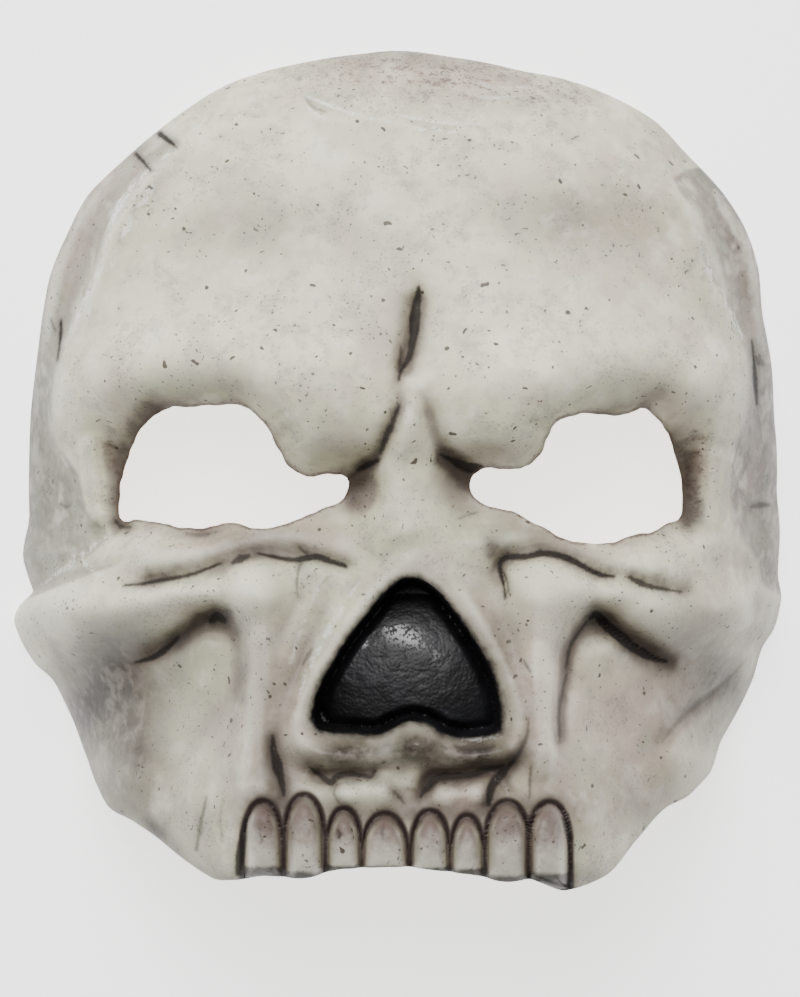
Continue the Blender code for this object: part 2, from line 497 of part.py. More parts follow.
def mask_points_and_faces():
    """Outer and inner skin with the walls between them at every edge, laid on the rim and centred."""
    x, y, triangles = net()
    outer_z = skin_height(x, y)
    inner_x, inner_y = inner_places(x, y)
    inner_z = np.minimum(worn_height(inner_x, inner_y), outer_z - THIN_WALL)
    outer = leant(np.column_stack([x, y, outer_z]))
    inner = leant(np.column_stack([inner_x, inner_y, inner_z]))
    # The wall stays above the floor, and its edge lies flat on it where the rim does.
    on_floor = grounded(x, y)
    inner[:, 2] = np.maximum(inner[:, 2], 0.55 * outer[:, 2] * on_floor)
    flat = (np.hypot(x, y) > 0.999 * edge_at(np.arctan2(y, x))[0]) & (on_floor > 0.999)
    outer[flat, 2] = 0.0
    inner[flat, 2] = 0.0
    count = len(outer)
    faces = [*triangles.tolist(), *(triangles[:, ::-1] + count).tolist()]
    faces += [(end, start, start + count, end + count) for start, end in edge_loops(triangles)]
    points = np.vstack([outer, inner])
    middle = (points.min(axis=0) + points.max(axis=0)) / 2
    return points - (middle[0], middle[1], 0.0), faces


def latex_material():
    """Bone-coloured latex, satin."""
    material = bpy.data.materials.new("latex")
    material.use_nodes = True
    shader = material.node_tree.nodes["Principled BSDF"]
    shader.inputs["Base Color"].default_value = LATEX
    shader.inputs["Roughness"].default_value = 0.5
    return material


def mask_shell():
    """The mask: one piece of moulded latex."""
    points, faces = mask_points_and_faces()
    mesh = bpy.data.meshes.new("mask_shell")
    mesh.from_pydata(points.tolist(), [], faces)
    mesh.validate()
    mesh.shade_smooth()
    mesh.set_sharp_from_angle(angle=math.radians(50))
    mesh.materials.append(latex_material())
    shell = bpy.data.objects.new("mask_shell", mesh)
    bpy.context.scene.collection.objects.link(shell)
    return shell


def main():
    for old in list(bpy.data.objects):
        bpy.data.objects.remove(old)
    mask_shell()


main()
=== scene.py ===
"""Skull mask of painted latex: camera, light, and the mask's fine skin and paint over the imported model.

The face has a frame of its own, as in the model: X to the viewer's right, Y up the forehead, Z out of the
face, with the nose bridge at the origin. Its skin is a height over X and Y. The finished skin is leant back
onto the flat rim of its forehead and temples. Where the paint goes is worked out over the same X and Y and
kept as point attributes, which the one paint material reads.
"""

import math

import bpy
import numpy as np
from mathutils import Matrix
from mathutils.geometry import delaunay_2d_cdt


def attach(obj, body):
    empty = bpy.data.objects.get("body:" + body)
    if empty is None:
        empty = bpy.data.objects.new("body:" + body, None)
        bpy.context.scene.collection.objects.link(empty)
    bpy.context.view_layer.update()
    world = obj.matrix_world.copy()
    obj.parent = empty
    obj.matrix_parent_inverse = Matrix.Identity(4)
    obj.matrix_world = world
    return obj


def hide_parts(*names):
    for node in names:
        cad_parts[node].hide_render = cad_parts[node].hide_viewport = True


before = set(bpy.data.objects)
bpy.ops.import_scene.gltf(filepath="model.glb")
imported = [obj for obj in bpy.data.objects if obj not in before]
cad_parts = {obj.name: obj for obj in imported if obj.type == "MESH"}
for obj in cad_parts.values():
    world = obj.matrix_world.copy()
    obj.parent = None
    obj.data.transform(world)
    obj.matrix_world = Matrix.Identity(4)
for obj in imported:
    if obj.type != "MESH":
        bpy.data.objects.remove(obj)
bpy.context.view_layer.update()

# Sizes of the mask, in metres, as in the model
MASK_WIDTH = 0.205
MASK_LENGTH = 0.2087  # from the crown to the tooth row, along the floor that the rim lies on
FACE_DEPTH = 0.076  # from the rim's plane to the brow, at eye level
RELIEF = 0.010  # height that the model's tables below give as 1.0
WALL = 0.0024
LEFT_EYE_WIDTH = 0.061
LEFT_EYE_HEIGHT = 0.0325
RIGHT_EYE_WIDTH = 0.056
RIGHT_EYE_HEIGHT = 0.035
SOCKET_DEPTH = 0.0065  # how far the skin falls back at an eye hole
SOCKET_MARGIN = 0.012  # width of skin that falls back
BROW_ROLL = 0.0045  # how far the brow turns under at the top of an eye hole
BROW_MARGIN = 0.008  # width of skin that turns under there
NOSE_WIDTH = 0.050
NOSE_HEIGHT = 0.043
NOSE_DEPTH = 0.0125  # from the lip to the floor of the nose hollow
NOSE_WALL_RUN = 0.0022  # width of the hollow's steep side
NOSE_DOME = 0.0105  # how far the floor swells out to clear the wearer's nose
TOOTH_RISE = 0.0026
TOOTH_GROOVE = 0.0010
TOOTH_ROUND = 0.0030  # width over which a tooth rises
RIM_LEAN = math.radians(14)  # between the face and the plane of its rim
FACE_SHARE = 1.0565  # the face's own height as a share of its length along the floor, which the lean shortens

HALF_WIDTH = MASK_WIDTH / 2
HALF_HEIGHT = FACE_SHARE * MASK_LENGTH / 2
RIM_SLOPE = math.tan(RIM_LEAN)

# The finish alone, in metres
THIN_WALL = 0.0009  # least wall under a cut line
GROOVE_REACH = 0.0013  # half breadth of the groove round a tooth
TOOTH_CROWN = 0.0020  # how much further each tooth swells than in the model
SIDE_STEP = 0.0016  # how far the temple planes lie behind the face's edge
TORN_AMOUNT = 0.0005  # how far the eye holes' hand-cut edges wander
LUMPS = ((0.00045, 0.023, 3), (0.00026, 0.0105, 5), (0.00010, 0.0046, 7))  # unevenness: height, cell, seed
LAYER_GAP = 0.006  # how far apart painted lines of one layer stay
LINE_REACH, WASH_REACH, FOLD_REACH = 0.009, 0.016, 0.018  # how far beside a line, a wash and a fold matter
FLOOR_GAP = 0.0006  # between the floor and the rim
# The outer skin's grid, and the spacing of the inner skin, of cut edges and of the raster for slow work
COLUMNS = 262
ROWS = 326
INNER_STEP = 0.0023
CUT_STEP = 0.0009
RASTER_STEP = 0.0008
FAR = 9.0  # what stands for "no line near", in mm

# The studio: places and distances in metres, in the face's own frame
CAMERA_DISTANCE = 2.4  # from the cheeks
CHEEK_HEIGHT = 0.060  # the cheeks above the nose bridge's own origin
VIEW_MIDDLE = (0.00065, -0.00706)
VIEW_HEIGHT = 0.2606  # how much of the face's plane the camera takes in, at the cheeks
SENSOR = 36.0  # mm
FLOOR_REACH = 4.0
FLOOR_GLOW = 1.8
WORLD_LIGHT = 0.12
# Soft lights: name, power in watts, side, place
LIGHTS = (
    ("key", 60, 1.2, (-0.15, 0.74, 1.72)),
    ("left_fill", 2.5, 0.8, (-1.2, 0.1, 0.9)),
    ("right_fill", 2, 0.8, (1.2, 0.1, 0.9)),
)

# Outline, clockwise from the crown: x and y as shares of half the mask's width and height, how far the edge
# stands above the rim's plane as a share of FACE_DEPTH, and how squarely the dome meets the edge. A row of
# two lies on the rim's plane and has the squareness 3.
OUTLINE = (
    (-0.001, 1.012), (0.149, 0.996), (0.304, 0.968), (0.433, 0.944), (0.555, 0.903), (0.664, 0.846),
    (0.758, 0.758), (0.839, 0.679), (0.895, 0.602), (0.935, 0.502), (0.951, 0.376), (0.973, 0.270),
    (0.986, 0.106), (0.992, -0.030), (1.001, -0.142), (0.997, -0.245), (1.006, -0.313), (0.988, -0.382),
    (0.960, -0.424), (0.932, -0.510), (0.892, -0.585, 0.06, 3.0), (0.849, -0.650, 0.20, 3.0),
    (0.806, -0.737, 0.40, 3.0), (0.762, -0.776, 0.51, 3.0), (0.689, -0.812, 0.64, 3.5),
    (0.616, -0.883, 0.78, 4.5), (0.529, -0.967, 0.94, 6.0), (0.434, -0.996, 1.06, 9.0),
    (0.336, -0.967, 1.13, 12.0), (0.279, -0.971, 1.17, 14.0), (0.180, -0.952, 1.20, 14.0),
    (-0.001, -0.934, 1.22, 14.0), (-0.136, -0.939, 1.21, 14.0), (-0.238, -0.962, 1.18, 14.0),
    (-0.339, -0.959, 1.11, 12.0), (-0.414, -0.972, 1.03, 9.0), (-0.475, -0.970, 0.94, 6.0),
    (-0.546, -0.931, 0.83, 4.5), (-0.629, -0.874, 0.69, 3.5), (-0.683, -0.843, 0.60, 3.0),
    (-0.748, -0.812, 0.49, 3.0), (-0.781, -0.765, 0.38, 3.0), (-0.818, -0.685, 0.20, 3.0),
    (-0.861, -0.588, 0.06, 3.0), (-0.903, -0.512), (-0.958, -0.460), (-0.991, -0.406), (-1.006, -0.367),
    (-0.993, -0.326), (-0.956, -0.289), (-0.979, -0.220), (-0.964, -0.099), (-0.963, 0.028),
    (-0.954, 0.173), (-0.940, 0.275), (-0.923, 0.386), (-0.901, 0.482), (-0.861, 0.569), (-0.793, 0.679),
    (-0.717, 0.746), (-0.633, 0.813), (-0.535, 0.880), (-0.439, 0.932), (-0.350, 0.961), (-0.226, 0.987),
    (-0.110, 1.003),
)

# Height of the front along its middle: y as a share of half the height, height as a share of FACE_DEPTH
PROFILE = (
    (-1.10, 0.92), (-0.91, 0.92), (-0.73, 0.89), (-0.45, 0.87), (-0.18, 0.87),
    (0.00, 0.88), (0.09, 0.92), (0.27, 0.95), (0.55, 0.97), (1.10, 0.97),
)

# Mounds and dips: name, x, y, reach across, reach up, turn in degrees, rise as a share of RELIEF, squareness.
# Places and reaches are shares of half the mask's width and height.
MOUNDS = (
    ("left brow lobe", -0.167, 0.165, 0.184, 0.156, 0, 0.95, 1.5),
    ("right brow lobe", 0.241, 0.165, 0.184, 0.152, 0, 0.95, 1.5),
    ("left temple boss", -0.835, 0.198, 0.092, 0.119, 0, 0.55, 1.2),
    ("right temple boss", 0.828, 0.174, 0.092, 0.109, 0, 0.55, 1.2),
    ("left forehead boss", -0.440, 0.762, 0.268, 0.142, 20, 0.18, 1.0),
    ("right forehead boss", 0.491, 0.762, 0.268, 0.142, -20, 0.18, 1.0),
    ("left forehead dip", -0.346, 0.554, 0.255, 0.081, 0, -0.26, 1.0),
    ("right forehead dip", 0.511, 0.558, 0.230, 0.081, 0, -0.28, 1.0),
    ("left temple hollow", -0.856, 0.426, 0.077, 0.166, 0, -0.50, 1.0),
    ("right temple hollow", 0.904, 0.426, 0.066, 0.166, 0, -0.50, 1.0),
    ("left inner eye pit", -0.080, -0.044, 0.051, 0.052, 0, -0.40, 1.0),
    ("right inner eye pit", 0.147, -0.025, 0.046, 0.052, 0, -0.45, 1.0),
    ("left outer eye hollow", -0.738, 0.039, 0.046, 0.142, 0, -0.35, 1.0),
    ("right outer eye hollow", 0.771, 0.015, 0.041, 0.142, 0, -0.30, 1.0),
    ("left cheek knob", -0.356, -0.286, 0.077, 0.064, 0, 0.55, 1.4),
    ("right cheek knob", 0.376, -0.281, 0.097, 0.078, 0, 0.65, 1.4),
    ("left hollow under cheekbone", -0.483, -0.352, 0.077, 0.038, -20, -0.55, 1.0),
    ("right hollow under cheekbone", 0.527, -0.362, 0.087, 0.038, 35, -0.60, 1.0),
    ("left cheek hollow", -0.560, -0.594, 0.189, 0.209, 0, -0.90, 1.2),
    ("right cheek hollow", 0.573, -0.594, 0.158, 0.204, 0, -0.85, 1.2),
    ("left cheek end", -0.899, -0.352, 0.112, 0.081, 0, 0.40, 1.2),
    ("right cheek end", 0.894, -0.333, 0.112, 0.081, 0, 0.40, 1.2),
    ("left jaw swell", -0.728, -0.712, 0.056, 0.062, 0, 0.20, 1.0),
    ("right jaw swell", 0.746, -0.703, 0.056, 0.057, 0, 0.25, 1.0),
    ("nose spine", 0.047, -0.632, 0.061, 0.036, 0, 0.30, 1.0),
    ("left root swell", -0.124, -0.760, 0.041, 0.033, 0, 0.22, 1.2),
    ("left middle root swell", -0.037, -0.760, 0.041, 0.033, 0, 0.22, 1.2),
    ("right middle root swell", 0.121, -0.765, 0.041, 0.031, 0, 0.18, 1.2),
    ("right root swell", 0.203, -0.760, 0.041, 0.031, 0, 0.18, 1.2),
)

# Ridges: name, rise as a share of RELIEF, half breadth as a share of half the width, points of the line
RIDGES = (
    ("left brow", 0.75, 0.110, ((-0.822, 0.188), (-0.669, 0.236), (-0.453, 0.250), (-0.249, 0.205))),
    ("right brow", 0.75, 0.110, ((0.312, 0.205), (0.516, 0.245), (0.695, 0.245), (0.835, 0.188))),
    ("left temple line", 0.24, 0.033, ((-0.590, 0.781), (-0.703, 0.632), (-0.779, 0.466), (-0.845, 0.300))),
    ("right temple line", 0.24, 0.033, ((0.741, 0.677), (0.787, 0.554), (0.848, 0.430), (0.889, 0.300))),
    ("nose bridge", 0.50, 0.069, ((0.032, 0.181), (0.011, 0.051), (0.006, -0.079), (0.037, -0.191))),
    ("left lower lid", 0.32, 0.043,
     ((-0.703, -0.181), (-0.542, -0.191), (-0.356, -0.172), (-0.167, -0.124))),
    ("right lower lid", 0.32, 0.046,
     ((0.241, -0.134), (0.376, -0.174), (0.547, -0.215), (0.720, -0.181), (0.843, -0.162))),
    ("left cheekbone", 0.85, 0.078,
     ((-0.912, -0.352), (-0.759, -0.328), (-0.593, -0.305), (-0.422, -0.290))),
    ("right cheekbone", 0.80, 0.082, ((0.491, -0.295), (0.657, -0.324), (0.810, -0.343), (0.937, -0.319))),
    ("left pillar", 0.62, 0.055,
     ((-0.356, -0.314), (-0.343, -0.435), (-0.361, -0.577), (-0.376, -0.708), (-0.371, -0.807))),
    ("right pillar", 0.62, 0.055, ((0.376, -0.314), (0.358, -0.447), (0.366, -0.594), (0.381, -0.743))),
    ("left nose lip", 0.30, 0.033,
     ((0.017, -0.215), (-0.080, -0.309), (-0.167, -0.428), (-0.244, -0.547), (-0.249, -0.632),
      (-0.172, -0.677), (-0.045, -0.684))),
    ("right nose lip", 0.26, 0.030,
     ((0.124, -0.238), (0.226, -0.371), (0.287, -0.494), (0.310, -0.594), (0.297, -0.660), (0.251, -0.694))),
    ("lower nose lip", 0.30, 0.038,
     ((-0.203, -0.665), (-0.075, -0.679), (0.047, -0.660), (0.164, -0.679), (0.282, -0.660))),
    ("philtrum", 0.18, 0.031, ((0.047, -0.656), (0.040, -0.760))),
    ("left outer orbit rim", 0.30, 0.041, ((-0.815, 0.098), (-0.779, -0.020), (-0.764, -0.139))),
    ("right outer orbit rim", 0.30, 0.041, ((0.828, 0.075), (0.802, -0.044), (0.792, -0.151))),
    ("brow cleft", -0.45, 0.032,
     ((0.050, 0.440), (0.052, 0.378), (0.040, 0.324), (0.024, 0.264), (0.009, 0.207))),
    ("left brow fold", -0.28, 0.028, ((0.004, 0.165), (-0.019, 0.094), (-0.052, 0.037), (-0.116, 0.004))),
    ("right brow fold", -0.28, 0.028, ((0.068, 0.174), (0.093, 0.094), (0.124, 0.032), (0.185, -0.006))),
    ("left lid crease", -0.30, 0.028,
     ((-0.703, -0.271), (-0.606, -0.260), (-0.493, -0.241), (-0.361, -0.191), (-0.193, -0.203))),
    ("right lid crease", -0.32, 0.028,
     ((0.269, -0.286), (0.256, -0.234), (0.302, -0.198), (0.376, -0.188), (0.496, -0.238), (0.736, -0.288))),
    ("left cheek crease", -0.30, 0.028,
     ((-0.437, -0.333), (-0.493, -0.357), (-0.555, -0.400), (-0.687, -0.461))),
    ("right cheek crease", -0.34, 0.028,
     ((0.476, -0.357), (0.522, -0.357), (0.573, -0.390), (0.695, -0.456))),
    ("right pillar crease", -0.20, 0.028,
     ((0.481, -0.362), (0.448, -0.407), (0.414, -0.570), (0.420, -0.656))),
    ("left fossa", -0.26, 0.026, ((-0.221, -0.698), (-0.182, -0.724), (-0.131, -0.720), (-0.080, -0.720))),
    ("right fossa", -0.30, 0.026, ((0.065, -0.765), (0.088, -0.727), (0.154, -0.720), (0.282, -0.694))),
)

# Outlines of the holes, as shares of half their own width and height, clockwise from the left
LEFT_EYE = (
    (-1.00, -0.60), (-0.96, -0.17), (-0.85, 0.47), (-0.62, 0.93), (-0.30, 0.97), (0.06, 1.00), (0.28, 0.70),
    (0.42, 0.18), (0.63, -0.13), (0.93, -0.10), (0.99, -0.37), (0.82, -0.64), (0.51, -0.87), (0.22, -1.00),
    (-0.02, -0.90), (-0.32, -1.00), (-0.78, -0.86), (-0.95, -0.86),
)
RIGHT_EYE = (
    (-1.00, -0.17), (-0.91, 0.10), (-0.53, 0.09), (-0.32, 0.43), (-0.18, 0.81), (0.10, 0.92), (0.48, 0.92),
    (0.65, 1.00), (0.85, 0.63), (0.96, 0.12), (1.00, -0.41), (0.97, -0.64), (0.75, -0.80), (0.33, -0.99),
    (-0.07, -0.95), (-0.37, -0.71), (-0.67, -0.50), (-0.92, -0.38),
)
NOSE = (
    (-0.07, 0.95), (-0.27, 0.75), (-0.44, 0.51), (-0.61, 0.26), (-0.78, -0.06), (-0.91, -0.34),
    (-0.99, -0.66), (-0.96, -0.84), (-0.84, -0.90), (-0.61, -0.92), (-0.40, -0.94), (-0.26, -0.92),
    (-0.07, -0.81), (0.07, -0.77), (0.24, -0.82), (0.38, -0.92), (0.55, -0.97), (0.76, -0.96),
    (0.95, -0.91), (0.99, -0.77), (0.97, -0.50), (0.92, -0.26), (0.81, 0.02), (0.66, 0.31), (0.46, 0.63),
    (0.31, 0.83), (0.13, 0.96),
)
# Each hole's middle, as shares of half the mask's width and height, its own width and height, and its outline
LEFT_EYE_HOLE = (-0.421, 0.010, LEFT_EYE_WIDTH, LEFT_EYE_HEIGHT, LEFT_EYE)
RIGHT_EYE_HOLE = (0.459, -0.011, RIGHT_EYE_WIDTH, RIGHT_EYE_HEIGHT, RIGHT_EYE)
NOSE_HOLLOW = (0.0237, -0.4405, NOSE_WIDTH, NOSE_HEIGHT, NOSE)

# Teeth, from left to right: middle, half width, root and tip, as shares of half the mask's width and height
TEETH = (
    (-0.343, 0.047, -0.784, -0.945), (-0.237, 0.048, -0.769, -0.959), (-0.136, 0.043, -0.802, -0.938),
    (-0.032, 0.057, -0.814, -0.938), (0.083, 0.047, -0.807, -0.944), (0.177, 0.041, -0.819, -0.950),
    (0.279, 0.053, -0.784, -0.971), (0.386, 0.050, -0.786, -0.964),
)
TOOTH_ARCH = 0.095  # how far the sides of a root lie below its top, as a share of half the height

# Painted lines: name, half widths along the line, darkness, how deep the line is cut, and points, all in mm
STROKES = (
    ("brow cleft", (0.5, 1.6, 0.9, 0.4), 0.92, 1.3,
     ((5.5, 48.0), (5.4, 45.9), (4.8, 42.7), (4.5, 39.6), (4.3, 36.2), (3.6, 32.3), (2.7, 28.9),
      (0.9, 26.3), (0.4, 23.9))),
    ("brow cleft branch", (0.25, 0.5, 0.3), 0.6, 0.3, ((0.8, 32.8), (0.8, 29.7), (0.4, 26.3))),
    ("left bridge fold", (0.4, 0.85, 0.7), 0.8, 0.7, ((0.4, 17.1), (-1.2, 12.8), (-2.7, 9.3), (-4.3, 5.1))),
    ("left bridge fold foot", (0.5, 0.9, 0.5), 1.0, 0.6, ((-5.2, 2.9), (-7.7, 1.7), (-10.3, 0.4))),
    ("right bridge fold", (0.3, 1.2, 1.6), 1.0, 0.6, ((11.4, 4.3), (14.5, 2.8), (17.6, 1.3), (21.0, 0.5))),
    ("left lid crack", (0.3, 0.65, 0.6, 0.35), 0.9, 0.8,
     ((-71.8, -29.9), (-66.5, -29.4), (-60.5, -28.2), (-54.5, -27.1), (-50.6, -25.7), (-46.1, -24.0))),
    ("left lid knot", (0.5, 1.2, 0.5), 0.8, 0.5, ((-43.0, -23.9), (-41.2, -22.9), (-38.8, -22.0))),
    ("left lid crease", (0.3, 0.7, 1.0, 0.9, 0.7), 0.95, 0.8,
     ((-36.5, -21.4), (-31.9, -22.4), (-27.2, -23.1), (-23.9, -22.7), (-20.8, -22.3), (-17.6, -23.4),
      (-13.7, -24.6))),
    ("left lid crease tail", (0.2, 0.5, 0.6), 0.6, 0.3, ((-25.9, -19.5), (-23.9, -21.4), (-21.3, -22.8))),
    ("left lid drip", (0.5, 0.35, 0.3), 0.5, 0.2,
     ((-25.2, -23.4), (-26.1, -26.8), (-26.3, -30.7), (-25.9, -32.8))),
    ("left bridge nick", (0.3, 0.4, 0.2), 0.35, 0.2, ((-17.9, -27.4), (-20.5, -30.1))),
    ("left cheek pit", (0.8, 1.4, 0.9), 0.85, 0.9, ((-48.8, -39.2), (-47.2, -38.0), (-45.6, -38.9))),
    ("left cheek crack", (0.4, 0.9, 0.8, 0.3), 0.95, 1.1,
     ((-57.6, -43.5), (-60.6, -46.4), (-64.6, -49.1), (-69.4, -50.5))),
    ("left bridge pit", (0.3, 0.7, 0.3), 0.5, 0.4, ((-22.1, -45.9), (-23.3, -48.0), (-24.8, -50.3))),
    ("left eye corner", (0.4, 0.8, 0.3), 0.75, 0.3, ((-74.1, -13.2), (-72.8, -14.4), (-70.2, -14.5))),
    ("left lid stain", (0.3, 0.7, 0.3), 0.4, 0.1, ((-55.0, -16.3), (-51.9, -16.6), (-48.2, -16.1))),
    ("left side nick", (0.3, 0.5, 0.2), 0.5, 0.2, ((-89.8, -8.5), (-88.2, -9.3), (-86.7, -8.8))),
    ("right lid crack", (0.3, 0.6, 0.9, 0.95, 0.9, 0.8, 0.5), 0.97, 1.0,
     ((28.1, -32.8), (27.6, -29.1), (26.7, -24.7), (28.4, -22.5), (33.9, -22.2), (38.0, -21.4),
      (42.5, -22.1), (46.7, -23.8), (50.1, -25.7), (53.5, -27.1), (56.6, -27.4))),
    ("right lid crack inner", (0.2, 0.45, 0.2), 0.7, 0.2,
     ((26.1, -24.7), (27.6, -26.3), (28.6, -29.1), (28.9, -31.5))),
    ("right lid tail", (0.6, 1.0, 0.6, 0.3), 0.85, 0.6,
     ((60.8, -27.8), (64.0, -29.4), (68.0, -30.5), (74.5, -31.6))),
    ("right cheek crack", (0.5, 1.3, 1.5, 1.2, 0.5), 0.97, 1.3,
     ((50.3, -38.8), (52.1, -37.6), (55.3, -40.8), (59.3, -44.0), (63.4, -47.1), (67.3, -49.1),
      (71.0, -50.2))),
    ("right pillar crack", (0.5, 0.6, 0.35), 0.65, 0.5,
     ((49.8, -39.3), (46.7, -43.4), (45.0, -46.8), (44.2, -51.4))),
    ("right hollow line", (0.2, 0.5, 0.5, 0.3), 0.5, 0.3,
     ((44.8, -51.1), (43.5, -56.1), (42.3, -62.3), (42.3, -70.7))),
    ("right bridge nick", (0.2, 0.35, 0.2), 0.5, 0.2, ((16.0, -12.4), (18.2, -11.4), (20.8, -10.7))),
    ("right nose nick", (0.25, 0.55, 0.3), 0.6, 0.3, ((32.9, -49.3), (33.6, -50.6), (34.5, -52.0))),
    ("right side nick", (0.4, 0.9, 0.5), 0.6, 0.4, ((94.2, -9.3), (96.6, -8.8), (99.2, -8.8))),
    ("right temple slit", (0.3, 0.4, 0.8, 0.35), 0.95, 0.8,
     ((94.2, 34.9), (94.7, 29.4), (95.0, 24.7), (95.5, 18.0))),
    ("right temple smear", (0.5, 1.3, 0.4), 0.5, 0.1, ((94.8, 30.7), (96.3, 29.4), (97.6, 28.6))),
    ("left temple slit", (0.4, 0.5, 0.45, 0.25), 1.0, 0.6, ((-89.3, 40.1), (-89.5, 35.5), (-90.2, 29.6))),
    ("left temple slit back", (0.25, 0.35, 0.2), 0.6, 0.3, ((-92.2, 40.6), (-91.6, 39.0), (-91.0, 37.4))),
    ("upper left slit", (0.9, 0.7, 0.3), 1.0, 0.8, ((-62.9, 89.5), (-60.3, 87.4), (-58.2, 85.6))),
    ("upper left lower slit", (0.55, 0.5, 0.3), 1.0, 0.5, ((-69.3, 84.3), (-67.3, 82.1), (-65.2, 79.5))),
    ("forehead flap shade", (0.25, 0.55, 0.3), 0.45, 0.4, ((-24.4, 98.4), (-22.0, 95.7), (-19.0, 94.6))),
    ("left canine crease", (0.4, 1.0, 1.5, 0.9, 0.5), 0.93, 1.2,
     ((-32.5, -69.1), (-32.2, -73.3), (-31.2, -77.0), (-30.3, -80.6), (-29.5, -84.3))),
    ("left lip crease", (0.35, 0.8, 0.9, 0.7, 0.6, 0.5), 0.8, 0.7,
     ((-22.9, -77.1), (-20.3, -79.2), (-17.4, -81.2), (-15.8, -79.6), (-12.7, -78.8), (-9.3, -79.3),
      (-6.9, -79.5), (-5.8, -78.0))),
    ("left root line", (0.2, 0.4, 0.3), 0.5, 0.4, ((-15.8, -81.4), (-16.6, -83.8), (-15.3, -86.1))),
    ("left lip notch", (0.3, 0.5, 0.2), 0.6, 0.5, ((-0.9, -83.3), (0.7, -85.1), (1.7, -86.4))),
    ("right lip crease", (0.5, 1.1, 1.0, 0.8, 0.7), 0.88, 0.9,
     ((6.1, -84.7), (8.1, -82.1), (10.6, -79.9), (14.4, -79.5), (18.8, -79.2), (23.3, -77.9),
      (27.6, -76.9))),
    ("right canine crease", (0.5, 1.2, 1.3, 0.7), 0.93, 1.2,
     ((30.2, -75.4), (27.1, -78.9), (24.6, -82.1), (23.8, -86.7))),
    ("right outer lip", (0.3, 0.7, 0.6), 0.55, 0.6,
     ((34.1, -64.3), (33.7, -68.7), (31.8, -73.1), (30.2, -75.4))),
    ("right outer line", (0.2, 0.5, 0.3), 0.6, 0.4, ((34.8, -76.7), (34.5, -80.6), (34.4, -84.8))),
    ("right nostril shade", (0.3, 0.7, 0.3), 0.6, 0.3, ((15.0, -71.6), (19.5, -72.9), (25.2, -71.6))),
    ("tooth row left end", (0.5, 1.1, 1.3, 0.8), 0.88, 0.8,
     ((-39.6, -91.1), (-40.4, -95.8), (-41.2, -100.5), (-41.8, -105.2))),
    ("right jaw fold line", (0.3, 0.7, 0.9, 0.7, 0.3), 0.30, 0.5,
     ((92.4, -51.1), (86.9, -56.6), (80.6, -61.0), (74.1, -66.5), (69.9, -71.5))),
    ("first tooth spot", (0.3, 0.5, 0.3), 0.5, 0.1, ((-35.6, -94.6), (-35.2, -95.8), (-35.6, -96.8))),
    ("third tooth spot", (0.4, 0.6, 0.4), 0.8, 0.1, ((-15.4, -93.4), (-15.0, -94.4), (-15.2, -95.2))),
    ("fourth tooth spot", (0.3, 0.6, 0.3), 0.45, 0.1, ((-3.6, -92.4), (-4.0, -94.0), (-3.8, -95.6))),
    ("left corner crease", (0.2, 0.45, 0.7, 0.4), 0.55, 0.5,
     ((-50.1, -85.4), (-51.4, -91.4), (-52.9, -99.4))),
    ("left corner second crease", (0.2, 0.35, 0.2), 0.35, 0.3,
     ((-45.6, -85.9), (-46.4, -90.9), (-45.9, -96.9))),
    ("tooth row right end", (0.4, 0.9, 0.4, 0.3), 0.85, 0.2,
     ((43.2, -90.6), (44.5, -94.2), (45.0, -98.4), (45.4, -103.6))),
    ("right tip drip", (0.3, 0.7, 0.4), 0.7, 0.2, ((36.5, -105.7), (41.4, -107.8), (45.6, -108.9))),
)
